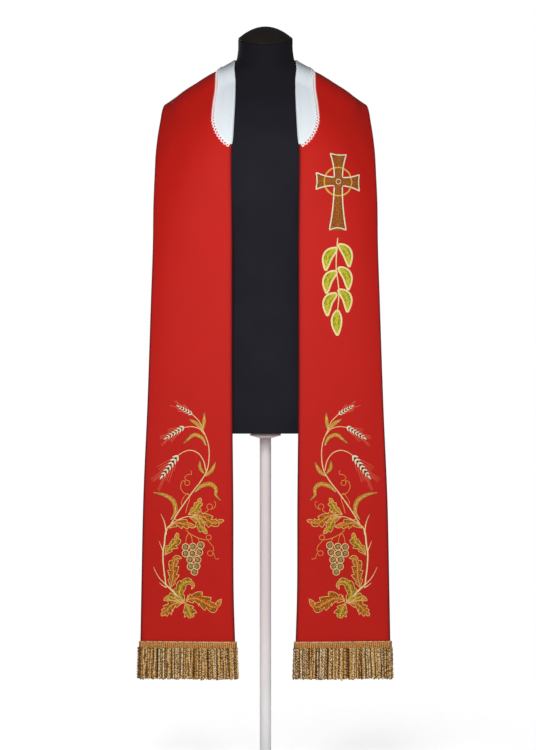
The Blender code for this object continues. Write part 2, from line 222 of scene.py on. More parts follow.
def directions(line: Array) -> tuple[Array, Array]:
    """The directions along a flat line and to the left of it, at each of its points."""
    tangent = unit(np.gradient(line, axis=0))
    return tangent, np.stack([-tangent[:, 1], tangent[:, 0]], axis=1)


def curl(centre: Place, radius: float, start: float, turn: float) -> list[Place]:
    """Points round a curl, about 40 degrees apart.

    Args:
        centre: the middle of the curl.
        radius: its radius.
        start: the angle of its first point, in degrees.
        turn: how far it turns, in degrees, anticlockwise.

    Returns:
        The points.
    """
    angles = np.radians(start + turn * np.linspace(0, 1, max(3, round(abs(turn) / 40)) + 1))
    return [(centre[0] + radius * math.cos(a), centre[1] + radius * math.sin(a)) for a in angles]


# Shaders


Input = Union["Signal", Socket, float, Sequence[float]]
Values = Union[dict, None]


class Signal:
    """A number that a shader works out. Python's operators on it add Math nodes."""

    def __init__(self, shader: "Shader", socket: Socket) -> None:
        """Keeps the socket and the shader that it is in."""
        self.shader = shader
        self.socket = socket

    def math(self, operation: str, *values: Input) -> "Signal":
        """A Math node of these values."""
        node = self.shader.node("ShaderNodeMath", {"operation": operation}, dict(enumerate(values)))
        return Signal(self.shader, node.outputs[0])

    def __add__(self, other: Input) -> "Signal":
        """self + other."""
        return self.math("ADD", self, other)

    def __sub__(self, other: Input) -> "Signal":
        """self - other."""
        return self.math("SUBTRACT", self, other)

    def __rsub__(self, other: Input) -> "Signal":
        """other - self."""
        return self.math("SUBTRACT", other, self)

    def __mul__(self, other: Input) -> "Signal":
        """self * other."""
        return self.math("MULTIPLY", self, other)

    __radd__ = __add__
    __rmul__ = __mul__

    def __pow__(self, other: Input) -> "Signal":
        """self ** other."""
        return self.math("POWER", self, other)

    def __abs__(self) -> "Signal":
        """The value without its sign."""
        return self.math("ABSOLUTE", self)

    def wave(self, length: float) -> "Signal":
        """A sine wave from 0 to 1, one for each length."""
        return self.math("SINE", self * (2 * math.pi / length)) * 0.5 + 0.5

    def rise(self, low: float, high: float) -> "Signal":
        """Rises smoothly from 0 at low to 1 at high."""
        settings = {"interpolation_type": "SMOOTHSTEP"}
        inputs = {"Value": self, "From Min": low, "From Max": high}
        return Signal(self.shader, self.shader.node("ShaderNodeMapRange", settings, inputs).outputs[0])


class Shader:
    """A material in the making, with its Principled BSDF."""

    def __init__(self, name: str, **constants: float) -> None:
        """Starts a material.

        Args:
            name: the material's name.
            constants: values of the Principled BSDF's sockets, with _ for a space.
        """
        self.material = bpy.data.materials.new(name)
        self.material.use_nodes = True
        self.tree = self.material.node_tree
        self.tree.nodes.clear()
        self.surface = self.node("ShaderNodeBsdfPrincipled")
        output = self.node("ShaderNodeOutputMaterial")
        self.tree.links.new(self.surface.outputs[0], output.inputs["Surface"])
        for socket, value in constants.items():
            self.surface.inputs[socket.replace("_", " ")].default_value = value

    def node(self, kind: str, settings: Values = None, inputs: Values = None) -> Node:
        """Adds a node.

        Args:
            kind: the node's type.
            settings: its own settings.
            inputs: values or links of its sockets, by name or number.

        Returns:
            The node.
        """
        made = self.tree.nodes.new(kind)
        for name, value in (settings or {}).items():
            setattr(made, name, value)
        for name, value in (inputs or {}).items():
            self.feed(made.inputs[name], value)
        return made

    def feed(self, socket: Socket, value: Input) -> None:
        """Links a value to a socket, or sets it there."""
        if isinstance(value, Signal):
            value = value.socket
        if isinstance(value, Socket):
            self.tree.links.new(value, socket)
        elif isinstance(value, (int, float)):
            socket.default_value = value
        else:
            socket.default_value = (*value, 1) if len(value) == 3 and socket.type == "RGBA" else value

    def coordinates(self, output: str) -> tuple[Socket, list[Signal]]:
        """Texture coordinates, as a vector and as its three numbers."""
        vector = self.node("ShaderNodeTexCoord").outputs[output]
        parts = self.node("ShaderNodeSeparateXYZ", inputs={0: vector})
        return vector, [Signal(self, out) for out in parts.outputs]

    def stretch(self, vector: Socket, scale: Sequence[float]) -> Socket:
        """The vector multiplied by a scale for each axis."""
        return self.node("ShaderNodeVectorMath", {"operation": "MULTIPLY"}, {0: vector, 1: scale}).outputs[0]

    def noise(self, vector: Socket, scale: float, detail: float = 3.0) -> Signal:
        """Soft noise, so many waves a metre."""
        inputs = {"Vector": vector, "Scale": scale, "Detail": detail}
        return Signal(self, self.node("ShaderNodeTexNoise", inputs=inputs).outputs[0])

    def attribute(self, name: str) -> Signal:
        """A number stored on the mesh."""
        return Signal(self, self.node("ShaderNodeAttribute", {"attribute_name": name}).outputs["Fac"])

    def blend(self, share: Input, first: Input, second: Input) -> Socket:
        """A mix of two colours."""
        inputs = {0: share, 6: first, 7: second}
        return self.node("ShaderNodeMix", {"data_type": "RGBA"}, inputs).outputs[2]

    def dress(self, colour: Input, roughness: Input, height: Input, depth: float) -> Material:
        """Gives the surface its colour, roughness and relief.

        Args:
            colour: the base colour.
            roughness: the roughness.
            height: the relief, from 0 to 1.
            depth: what a height of 1 stands out by, in metres.

        Returns:
            The finished material.
        """
        self.feed(self.surface.inputs["Base Color"], colour)
        self.feed(self.surface.inputs["Roughness"], roughness)
        bump = self.node("ShaderNodeBump", inputs={"Height": height, "Distance": depth})
        self.feed(self.surface.inputs["Normal"], bump.outputs[0])
        return self.material


@dataclass(frozen=True)
class Finish:
    """A finish with a bright and a deep tone of its colour. Each kind makes its own material."""

    name: str
    bright: Colour
    deep: Colour


@dataclass(frozen=True)
class WovenFinish(Finish):
    """A plain woven cloth, whose threads follow the piece's UV map in metres. An edge colour, if given, is
    painted shade towards the cloth's edges.
    """

    pitch: float
    roughness: float
    sheen: float
    mottle: float = 0.5
    gloss: float = 0.16
    # painted shade: the colour that the cloth is darkened to towards its edges
    edge: Union[Colour, None] = None

    def make(self) -> Material:
        """Builds the material."""
        constants = {"Sheen_Weight": self.sheen, "Sheen_Roughness": 0.5, "Specular_IOR_Level": self.gloss}
        shader = Shader(self.name, **constants)
        vector, (across, along, _) = shader.coordinates("UV")
        warp, weft = across.wave(self.pitch), along.wave(self.pitch * 0.9)
        slub = shader.noise(shader.stretch(vector, (1.0, 0.12, 1.0)), 900, 2)
        slack = shader.noise(shader.stretch(vector, (0.12, 1.0, 1.0)), 900, 2)
        broad = shader.noise(vector, 9, 4)
        grain = warp * 0.25 + weft * 0.25 + slub * 0.25 + slack * 0.25
        tone = (grain - 0.5) * 1.1 + (broad - 0.5) * self.mottle + 0.5
        colour = shader.blend(tone.rise(0.0, 1.0), self.deep, self.bright)
        # painted shade: the edge attribute blends the cloth to the edge colour towards its edges
        if self.edge:
            colour = shader.blend(shader.attribute("edge"), colour, self.edge)
        return shader.dress(colour, broad * 0.1 + self.roughness, grain, 0.25 * MM)


@dataclass(frozen=True)
class JerseyFinish(Finish):
    """Fine knitted jersey stretched over the dress form, with the seam round its neck, and painted shade that
    darkens the neck above the seam.
    """

    name: str = "black_jersey"
    bright: Colour = (0.0150, 0.0142, 0.0225)
    deep: Colour = (0.0062, 0.0058, 0.0100)
    pitch: float = 1.1 * MM
    seam_height: float = 1.518
    seam_slope: float = 0.42
    seam_width: float = 1.6 * MM
    # where the painted shade on the neck begins and ends round the seam, and how dark it is
    neck_reach: tuple[float, float] = (-0.045, 0.03)
    neck_shade: float = 0.62

    def make(self) -> Material:
        """Builds the material."""
        shader = Shader(self.name, Sheen_Weight=0.02, Sheen_Roughness=0.45, Specular_IOR_Level=0.2)
        vector, (around, up, _) = shader.coordinates("UV")
        place, (_, depth, height) = shader.coordinates("Object")
        rib, loop = around.wave(self.pitch), (up + around * 0.5).wave(self.pitch * 0.8)
        broad = shader.noise(place, 14, 4)
        off_seam = abs(height - depth * self.seam_slope - self.seam_height - 0.06 * self.seam_slope)
        seam = 1 - off_seam.rise(0.0, self.seam_width)
        low, high = (self.seam_height + reach for reach in self.neck_reach)
        knit = rib * 0.6 + loop * 0.4
        # painted shade: the neck is drawn darker above the seam
        neck = (height - depth * self.seam_slope).rise(low, high)
        tone = knit * 0.35 + broad * 0.65 - seam * 0.35 - neck * self.neck_shade
        colour = shader.blend(tone.rise(0.1, 0.95), self.deep, self.bright)
        return shader.dress(colour, broad * 0.12 + 0.78, knit * 0.35 - seam, 0.35 * MM)


@dataclass(frozen=True)
class SmoothFinish(Finish):
    """A smooth painted surface with a fine grain."""

    roughness: float
    grain: float
    relief: float
    gloss: float = 0.5

    def make(self) -> Material:
        """Builds the material."""
        shader = Shader(self.name, Specular_IOR_Level=self.gloss)
        place, _ = shader.coordinates("Object")
        fine, broad = shader.noise(place, self.grain, 3), shader.noise(place, 22, 4)
        colour = shader.blend((fine * 0.4 + broad * 0.6).rise(0.25, 0.75), self.deep, self.bright)
        return shader.dress(colour, fine * 0.12 + broad * 0.1 + self.roughness, fine, self.relief)


@dataclass(frozen=True)
class ThreadFinish(Finish):
    """Embroidery thread laid side by side across a run of stitches."""

    roughness: float = 0.45
    pitch: float = 0.55 * MM
    speckle: float = 0.35
    slant: float = 0.6
    gloss: float = 0.3

    def make(self) -> Material:
        """Builds the material."""
        shader = Shader(self.name, Specular_IOR_Level=self.gloss, Anisotropic=0.4)
        vector, (across, along, _) = shader.coordinates("UV")
        stitch = (along + across * self.slant).wave(self.pitch)
        flecks = shader.noise(shader.stretch(vector, (0.35, 1.0, 1.0)), 1100, 2)
        broad = shader.noise(vector, 130, 3)
        tone = stitch * 0.30 + flecks * self.speckle + broad * (0.85 - self.speckle) - 0.05
        colour = shader.blend(tone.rise(0.22, 0.72), self.deep, self.bright)
        return shader.dress(colour, flecks * 0.2 + self.roughness, stitch * 0.8 + flecks * 0.2, 0.22 * MM)


@dataclass(frozen=True)
class LeafFinish(Finish):
    """Filling stitches of a leaf, bright along its spine and deeper towards its edges, flecked with a third
    thread, and with painted shadow in the low places of its relief.
    """

    fleck: Colour
    # painted shadow for the low places of the fill's relief
    shadow: Colour = (0.11, 0.035, 0.006)
    pitch: float = 0.7 * MM

    def make(self) -> Material:
        """Builds the material."""
        shader = Shader(self.name, Specular_IOR_Level=0.1)
        vector, (across, along, _) = shader.coordinates("UV")
        stitch = (along + abs(across) * 1.2).wave(self.pitch)
        broad = shader.noise(vector, 120, 3)
        flecks = shader.noise(shader.stretch(vector, (1.0, 0.6, 1.0)), 420, 3)
        shade = (abs(across) * 110 + broad * 1.1 - 0.35).rise(0.15, 0.95)
        colour = shader.blend(shade, self.bright, self.deep)
        colour = shader.blend(flecks.rise(0.53, 0.66) * 0.85, colour, self.fleck)
        # painted shadow: where the flecks' relief is low, the fill is darkened to the shadow colour
        colour = shader.blend((1 - flecks).rise(0.52, 0.64) * 0.75, colour, self.shadow)
        return shader.dress(colour, flecks * 0.25 + 0.35, stitch * 0.6 + flecks * 0.4, 0.3 * MM)


@dataclass(frozen=True)
class MetalCordFinish(Finish):
    """Twisted metallic cord of the fringe. Each strand has its own tone, stored on the mesh; the grooves of
    the twist, and strands whose tone is below zero, are drawn in the shade colour as painted shade.
    """

    shade: Colour
    warm: Colour = (0.92, 0.52, 0.15)
    twist: float = 12.6 * MM
    metallic: float = 0.45

    def make(self) -> Material:
        """Builds the material."""
        shader = Shader(self.name, Metallic=self.metallic, Specular_IOR_Level=0.3, Anisotropic=0.3)
        vector, (around, along, _) = shader.coordinates("UV")
        ply = (along - around * self.twist + self.twist / 8).wave(self.twist * 0.5)
        wrap = (along - around * 0.8 * MM).wave(0.8 * MM)
        flecks = shader.noise(shader.stretch(vector, (0.004, 1.0, 1.0)), 330, 1).rise(0.36, 0.64)
        own = shader.attribute("tone")
        # painted light and shade: the ply wave lightens the crests of the twist here and darkens its grooves
        # below
        tone = ply * 0.35 + wrap * 0.06 + flecks * 0.7 + own * 0.6 - 0.35
        light = shader.blend((own * 8.3).wave(1.0), self.bright, self.warm)
        colour = shader.blend(tone.rise(0.05, 0.95), self.deep, light)
        # painted shade in the grooves of the twist
        colour = shader.blend((ply * 0.75 + flecks * 0.4 + own * 0.15).rise(0.18, 0.62), self.shade, colour)
        # painted shadow: strands whose tone is below zero take the shade colour
        colour = shader.blend((own + 0.5).rise(0.0, 0.5), self.shade, colour)
        return shader.dress(colour, flecks * 0.2 + 0.18, ply * 0.8 + wrap * 0.2, 0.55 * MM)


@dataclass(frozen=True)
class BraidFinish(Finish):
    """Woven head of the fringe, in chevrons of metallic thread."""

    pitch: float = 4.3 * MM
    metallic: float = 0.55

    def make(self) -> Material:
        """Builds the material."""
        shader = Shader(self.name, Metallic=self.metallic, Sheen_Weight=0.05)
        vector, (across, along, _) = shader.coordinates("UV")
        rib = (across + abs(along.wave(7 * MM) - 0.5) * 2 * MM).wave(self.pitch)
        thread = (across * 0.6 + along).wave(0.6 * MM)
        flecks = shader.noise(vector, 420, 2).rise(0.3, 0.7)
        tone = rib * 0.40 + thread * 0.15 + flecks * 0.45
        colour = shader.blend(tone.rise(0.2, 0.8), self.deep, self.bright)
        return shader.dress(colour, flecks * 0.25 + 0.3, rib * 0.7 + thread * 0.3, 0.5 * MM)


class Thread(Enum):
    """The threads of the embroidery, each with its finish."""

    CREAM = ThreadFinish("thread_cream", (1.00, 0.82, 0.42), (0.94, 0.58, 0.20), roughness=0.34, gloss=0.6)
    IVORY = ThreadFinish("thread_ivory", (1.00, 0.92, 0.70), (0.96, 0.78, 0.50), roughness=0.36, speckle=0.2,
                         gloss=0.8)
    GOLD = ThreadFinish("thread_gold", (0.98, 0.56, 0.14), (0.70, 0.27, 0.03))
    BLUSH = ThreadFinish("thread_blush", (1.00, 0.68, 0.26), (0.96, 0.42, 0.10), roughness=0.34, gloss=0.4)
    BEARD = ThreadFinish("thread_beard", (0.88, 0.24, 0.12), (0.72, 0.13, 0.06))
    # dark brown laid under outlines, round grapes and between grains: painted shadow of the raised stitches
    BROWN = ThreadFinish("thread_brown_painted_shadow", (0.085, 0.026, 0.006), (0.035, 0.011, 0.003))
    LEMON = ThreadFinish("thread_lemon", (1.00, 0.90, 0.46), (0.90, 0.70, 0.24), roughness=0.36, gloss=0.6)
    YELLOW = ThreadFinish("thread_yellow", (0.90, 0.55, 0.10), (0.62, 0.28, 0.03))
    OLIVE_FILL = LeafFinish("fill_olive", (0.70, 0.34, 0.008), (0.24, 0.105, 0.003), (1.00, 0.72, 0.08))
    BRONZE_FILL = LeafFinish("fill_bronze", (0.72, 0.18, 0.006), (0.32, 0.065, 0.003), (1.00, 0.46, 0.035))
    GOLD_FILL = LeafFinish("fill_gold", (0.80, 0.34, 0.020), (0.38, 0.11, 0.006), (1.00, 0.62, 0.12))
    COPPER_FILL = LeafFinish("fill_copper", (0.40, 0.120, 0.018), (0.33, 0.090, 0.013), (0.52, 0.19, 0.035))
    GRAPE_FILL = LeafFinish("fill_grape", (0.26, 0.115, 0.016), (0.070, 0.028, 0.005), (0.80, 0.46, 0.12),
                            (0.02, 0.009, 0.003))
    LIME_FILL = LeafFinish("fill_lime", (0.66, 0.66, 0.035), (0.30, 0.33, 0.012), (1.00, 0.66, 0.06))


# Meshes


def add_grid(bm: Mesh, points: Array, uvs: Array, material: int = 0, flip: bool = False,
             weld: bool = False) -> dict[Vert, tuple[int, int]]:
    """Adds a grid to a bmesh, with its vertices and UVs where the arrays say.

    Args:
        bm: the bmesh.
        points: the vertices' places, rows by columns by 3.
        uvs: their UVs, rows by columns by 2.
        material: the faces' material number.
        flip: turns the faces over.
        weld: joins vertices that lie together.

    Returns:
        The row and column of each vertex.
    """
    rows, columns = points.shape[:2]
    verts = bmesh.ops.create_grid(bm, x_segments=columns - 1, y_segments=rows - 1, size=1)["verts"]
    layer = bm.loops.layers.uv.verify()
    cells = {}
    for vert in verts:
        column = round((vert.co.x + 1) / 2 * (columns - 1))
        row = round((vert.co.y + 1) / 2 * (rows - 1))
        cells[vert] = (row, column)
        vert.co = points[row, column]
    faces = list({face for vert in verts for face in vert.link_faces})
    for face in faces:
        face.material_index = material
        face.smooth = True
        for loop in face.loops:
            loop[layer].uv = uvs[cells[loop.vert]]
    if flip:
        bmesh.ops.reverse_faces(bm, faces=faces)
    if weld:
        bmesh.ops.remove_doubles(bm, verts=verts, dist=WELD)
    return cells


def add_piece(name: str, bm: Mesh, finishes: Iterable[Material],
              stands_for: Sequence[str] = ()) -> Piece:
    """Makes a bmesh a piece that rides on the part.

    Args:
        name: the piece's name.
        bm: its mesh, which is freed.
        finishes: its materials, in the order of the faces' numbers.
        stands_for: the CAD nodes that it replaces.

    Returns:
        The piece.
    """
    mesh = bpy.data.meshes.new(name)
    bm.to_mesh(mesh)
    bm.free()
    for finish in finishes:
        mesh.materials.append(finish)
    piece = bpy.data.objects.new(name, mesh)
    bpy.context.scene.collection.objects.link(piece)
    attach(piece, "root")
    if stands_for:
        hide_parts(*stands_for)
    LOG.info("%s: %d faces", name, len(mesh.polygons))
    return piece


def add_wall(piece: Piece, thickness: float, edge: float = 0.0) -> None:
    """Gives a sheet a wall behind its outer face, and rounds its edges.

    Args:
        piece: the sheet.
        thickness: the wall's thickness.
        edge: the radius of its edges, or 0 to leave them square.
    """
    kinds = [("wall", "SOLIDIFY", {"thickness": thickness, "offset": -1.0})]
    if edge:
        corner = math.radians(60)
        settings = {"width": edge, "segments": 2, "limit_method": "ANGLE", "angle_limit": corner}
        kinds.append(("edge", "BEVEL", settings))
    for name, kind, settings in kinds:
        modifier = piece.modifiers.new(name, kind)
        for setting, value in settings.items():
            setattr(modifier, setting, value)


def add_tube(bm: Mesh, rings: Array, uvs: Array) -> list[Vert]:
    """Adds a tube through rings of points, drawn to a point at its first end and open at its last.

    Args:
        bm: the bmesh.
        rings: the rings' points, rings by points by 3, the first point of a ring not repeated.
        uvs: UVs, rings by points + 1 by 2.

    Returns:
        The tube's vertices.
    """
    closed = np.concatenate([rings, rings[:, :1]], axis=1)
    first = 0 * closed[:1] + closed[0].mean(axis=0)
    cells = add_grid(bm, np.concatenate([first, closed]), np.concatenate([uvs[:1], uvs]), weld=True)
    return [vert for vert in cells if vert.is_valid]


# The cloth of the stole


class Crease(NamedTuple):
    """A soft crease, as a line on the panel. Its height out of the cloth is in millimetres."""

    start: Place
    end: Place
    width: float
    height: float


CREASES = {
    Side.RIGHT: (
        Crease((0.060, 0.02), (0.066, 0.46), 0.030, 0.9),
        Crease((0.140, 0.03), (0.132, 0.38), 0.026, -0.8),
        Crease((0.150, 0.55), (0.142, 0.95), 0.034, 1.5),
        Crease((0.070, 0.62), (0.050, 1.02), 0.030, -1.1),
        Crease((0.160, 1.00), (0.110, 1.13), 0.022, -1.2),
        Crease((0.020, 0.98), (0.060, 1.10), 0.016, 1.0),
    ),
    Side.LEFT: (
        Crease((0.052, 0.03), (0.060, 0.40), 0.028, 1.0),
        Crease((0.150, 0.02), (0.138, 0.44), 0.030, -0.9),
        Crease((0.145, 0.50), (0.150, 0.90), 0.030, 1.3),
        Crease((0.080, 0.66), (0.058, 0.98), 0.034, -1.2),
        Crease((0.155, 0.98), (0.100, 1.12), 0.024, -1.3),
        Crease((0.024, 0.96), (0.058, 1.08), 0.018, 0.9),
    ),
}


@dataclass
class StoleCloth:
    """The hanging shape of both sides of the stole, as grids of points and directions."""

    form: BVHTree
    thickness: float = 1.6 * MM
    rest_gap: float = 1.5 * MM
    rest_ease: float = 1.5 * MM
    rest_reach: float = 6.0 * MM
    slope_step: float = 0.02
    step: float = 5.0 * MM
    edge_shares: tuple[float, ...] = (0.0, 0.004, 0.009, 0.015, 0.022, 0.031, 0.042)
    inside_columns: int = 38
    fold_width: float = 1.7 * MM
    fold_height: float = 0.5 * MM
    edge_drop: float = 1.3 * MM
    edge_round: float = 0.5 * MM
    # width and strength of the painted shade along the cloth's edges
    edge_shade: float = 4.4 * MM
    shade_depth: float = 0.92
    ripple: float = 0.35 * MM
    crease_start: tuple[float, float] = (-0.35, 0.3)
    crease_end: tuple[float, float] = (0.7, 1.35)

    def __post_init__(self) -> None:
        """Works out both grids."""
        middles = [np.add(s.inner, s.outer) / 2 for s in SECTIONS]
        self.track = Track([(*s.inner, *s.outer, s.bow) for s in SECTIONS], middles)
        self.fine_rows = np.linspace(0, self.track.last, 40 * self.track.last + 1)
        self.fine_run = run_length(self.track.at(self.fine_rows)[:, :3])
        self.length = float(self.fine_run[-1])
        self.rows = round(self.length / self.step) + 1
        self.along = np.linspace(0, self.length, self.rows)
        close = np.array(self.edge_shares)
        inside = np.linspace(close[-1], 1 - close[-1], self.inside_columns)
        self.shares = np.concatenate([close[:-1], inside, 1 - close[-2::-1]])
        places = np.interp(self.along, self.fine_run, self.fine_rows)
        points, out, free = self._hang(places)
        here = self.track.at(places)
        self.widths = np.linalg.norm(here[:, 3:6] - here[:, :3], axis=1)
        self.across = self.shares[None, :] * self.widths[:, None]
        self.from_edge = np.minimum(self.shares, 1 - self.shares)[None, :] * self.widths[:, None]
        fold = self.fold_height * np.exp(-(((self.from_edge - 1.6 * self.fold_width) / self.fold_width) ** 2))
        fold -= self.edge_drop * np.exp(-((self.from_edge / (0.6 * self.fold_width)) ** 2))
        self.points, self.normals = {}, {}
        for side in Side:
            lifted = points + out * (self._crease_heights(side) * free)[..., None]
            lifted = lifted * np.array([side.value, 1, 1])
            normals = unit(np.cross(np.gradient(lifted, axis=1), np.gradient(lifted, axis=0)) * side.value)
            self.points[side] = lifted + normals * fold[..., None]
            self.normals[side] = normals

    def _hang(self, places: Array) -> tuple[Array, Array, Array]:
        """The side of the cloth that faces the form.

        Args:
            places: the rows of the grid, in rows of the table.

        Returns:
            The points, the directions out of the cloth, and how free of the form each point is.
        """
        here = self.track.at(places)
        slope = self.track.at(np.minimum(places + self.slope_step, self.track.last))
        slope = slope - self.track.at(np.maximum(places - self.slope_step, 0))
        share = self.shares[None, :, None]
        chord = (here[:, 3:6] - here[:, :3])[:, None]
        out = unit(np.cross(chord, (1 - share) * slope[:, None, :3] + share * slope[:, None, 3:6]))
        points = here[:, None, :3] + chord * share + out * here[:, None, 6:7] * 4 * share * (1 - share)
        free = np.ones(points.shape[:2])
        for cell in np.ndindex(free.shape):
            place = Vector(points[cell])
            nearest, normal, _, _ = self.form.find_nearest(place)
            clear = (place - nearest).dot(normal)
            if clear < self.rest_reach:
                lifted = clear + self.rest_gap + math.hypot(clear - self.rest_gap, self.rest_ease)
                points[cell] = place + normal * (0.5 * lifted - clear)
            free[cell] = smooth_step(np.array(clear), self.rest_gap, 3 * self.rest_reach)
        return points, out, free

    def _crease_heights(self, side: Side) -> Array:
        """How far the creases lift the cloth of one side, over its grid."""
        across = self.across
        along = np.broadcast_to(self.along[:, None], across.shape)
        heights = self.ripple * np.sin(along * 23 + side.value) * np.sin(across * 31 + along * 5)
        for crease in CREASES[side]:
            start, end = np.array(crease.start), np.array(crease.end)
            length = np.linalg.norm(end - start)
            way = (end - start) / length
            ahead = (across - start[0]) * way[0] + (along - start[1]) * way[1]
            beside = (across - start[0]) * way[1] - (along - start[1]) * way[0]
            ahead = ahead / length
            ends = smooth_step(ahead, *self.crease_start) * (1 - smooth_step(ahead, *self.crease_end))
            heights = heights + crease.height * MM * ends * np.exp(-((beside / crease.width) ** 2))
        return heights

    def row_distance(self, row: float) -> float:
        """How far along the inner edge a row of the table lies."""
        return float(np.interp(row, self.fine_rows, self.fine_run))

    def spot(self, side: Side, across: Array, along: Array, lift: Array) -> Array:
        """Places on a side of the stole.

        Args:
            side: the side.
            across: distances from the inner edge.
            along: distances from the hem.
            lift: distances off the outer face of the cloth.

        Returns:
            The points, with one more axis than the arrays.
        """
        across, along, lift = np.broadcast_arrays(across, along, lift)
        row = along / self.length * (self.rows - 1)
        i = np.clip(np.floor(row).astype(int), 0, self.rows - 2)
        t = (row - i)[..., None]
        share = across / np.interp(along, self.along, self.widths)
        last = len(self.shares) - 1
        column = np.interp(share, self.shares, np.arange(last + 1))
        column += (np.minimum(share, 0) + np.maximum(share - 1, 0)) / self.shares[1]
        j = np.clip(np.floor(column).astype(int), 0, last - 1)
        u = (column - j)[..., None]
        places = []
        for grid in (self.points[side], self.normals[side]):
            low, high = (grid[i + k, j] * (1 - u) + grid[i + k, j + 1] * u for k in (0, 1))
            places.append(low * (1 - t) + high * t)
        return places[0] + places[1] * (lift + self.thickness)[..., None]

    def lay(self, bm: Mesh, side: Side, line: Array, offset: Array, lift: Array, material: int = 0,
            lean: float = 0.0) -> None:
        """Lays a strip on the cloth, along a line of (across, along).

        Args:
            bm: the bmesh that the strip is added to.
            side: the side of the stole.
            line: the line's points.
            offset: how far to the left of the line the strip's columns lie.
            lift: how far they stand off the cloth.
            material: the strip's material number.
            lean: how far the columns slide on along the line, as a share of their offset.
        """
        tangent, beside = directions(line)
        places = line[:, None] + beside[:, None] * offset[..., None]
        places = places + tangent[:, None] * (np.abs(offset) * lean)[..., None]
        points = self.spot(side, places[..., 0], places[..., 1], lift)
        add_grid(bm, points, pairs(offset, run_length(line)[:, None]), material, flip=side is Side.LEFT)

    def build(self, side: Side, finish: Material) -> Piece:
        """Builds one panel, from its hem to the seam behind the neck.

        Args:
            side: the side.
            finish: the cloth's material.

        Returns:
            The panel.
        """
        bm = bmesh.new()
        points = self.points[side] + self.normals[side] * self.thickness
        # painted shade along both long edges, stored as the edge attribute
        shade = self.shade_depth * np.exp(-((self.from_edge / self.edge_shade) ** 2))
        layer = bm.verts.layers.float.new("edge")
        cells = add_grid(bm, points, pairs(self.across, self.along[:, None]), flip=side is Side.LEFT)
        for vert, cell in cells.items():
            vert[layer] = shade[cell]
        node = f"panel_{side.word}"
        piece = add_piece(f"stole_{node}", bm, [finish], [node])
        add_wall(piece, self.thickness, self.edge_round)
        return piece


# Needlework


@dataclass
class Needlework:
    """Stitches on one side of the stole. Places are (across, along) in millimetres.

    The profiles give each column of a strip: its share of the way out, and of the crown's height.
    """

    cloth: StoleCloth
    side: Side
    bm: Mesh = field(default_factory=bmesh.new)
    threads: list[Thread] = field(default_factory=list)
    sunk: float = 0.12 * MM
    run_profile: tuple[Place, ...] = ((1, 0), (0.62, 0.78), (0, 1), (-0.62, 0.78), (-1, 0))
    fill_profile: tuple[Place, ...] = ((1, 0.15), (0.8, 0.75), (0.45, 1), (0.12, 0.9), (0, 0.7), (-0.12, 0.9),
                                       (-0.45, 1), (-0.8, 0.75), (-1, 0.15))

    def _lay(self, line: Array, offset: Array, lift: Array, thread: Thread, lean: float = 0.0 ) -> None:
        """Lays a strip of a thread, with the line and the offsets in millimetres."""
        if thread not in self.threads:
            self.threads.append(thread)
        number = self.threads.index(thread)
        self.cloth.lay(self.bm, self.side, line * MM, offset * MM, lift, number, lean)

    def run(self, line: Array, widths: Union[float, Array], thread: Thread, height: float = 0.8,
            under: float = 0.0, round_ends: bool = True) -> None:
        """Lays a crowned run of satin stitches along a line.

        Args:
            line: the line's points.
            widths: the run's width, along the line or at each point.
            thread: the thread.
            height: how far its crown stands off the cloth.
            under: how high the run's edges lie.
            round_ends: rounds the two ends off.
        """
        widths = np.full(len(line), 1.0) * widths
        if round_ends:
            along = run_length(line)
            for distance in (along, along[-1] - along):
                reach = max(widths.mean() * 0.6, 1e-3)
                widths *= np.sqrt(1 - (1 - np.clip(distance / reach, 0, 1)) ** 2) * 0.97 + 0.03
        shares, crown = np.transpose(self.run_profile)
        self._lay(line, shares * widths[:, None] / 2, (under + crown * height) * MM - self.sunk, thread)

    def line(self, points: Sequence[Place], start: float, end: float, thread: Thread,
             height: float = 0.8 ) -> None:
        """Stitches a smooth line whose width changes from start to end.

        Args:
            points: a few places that the line passes through.
            start: its width at its start.
            end: its width at its end.
            thread: the thread.
            height: the height of its crown.
        """
        line = smooth_line(points, 1.6)
        self.run(line, np.linspace(start, end, len(line)), thread, height)

    def fill(self, spine: Array, left: Array, right: Array, thread: Thread, height: float,
             lean: float = 0.0) -> None:
        """Fills a shape with stitches, from a spine out to both edges.

        Args:
            spine: the line along its middle.
            left: the distance from the spine to the left edge, at each of its points.
            right: the same to the right edge.
            thread: the filling.
            height: how far it stands off the cloth.
            lean: how far the stitches lean to the spine's end, as a share of their length.
        """
        shares, crown = np.transpose(self.fill_profile)
        reach = np.where(shares > 0, left[:, None], right[:, None])
        lift = crown * height * MM * np.clip(reach / 3, 0.1, 1) - self.sunk / 2
        self._lay(spine, shares * reach, lift, thread, lean)

    def finish(self, name: str) -> Piece:
        """Makes the stitches a piece."""
        return add_piece(name, self.bm, [thread.value.make() for thread in self.threads])


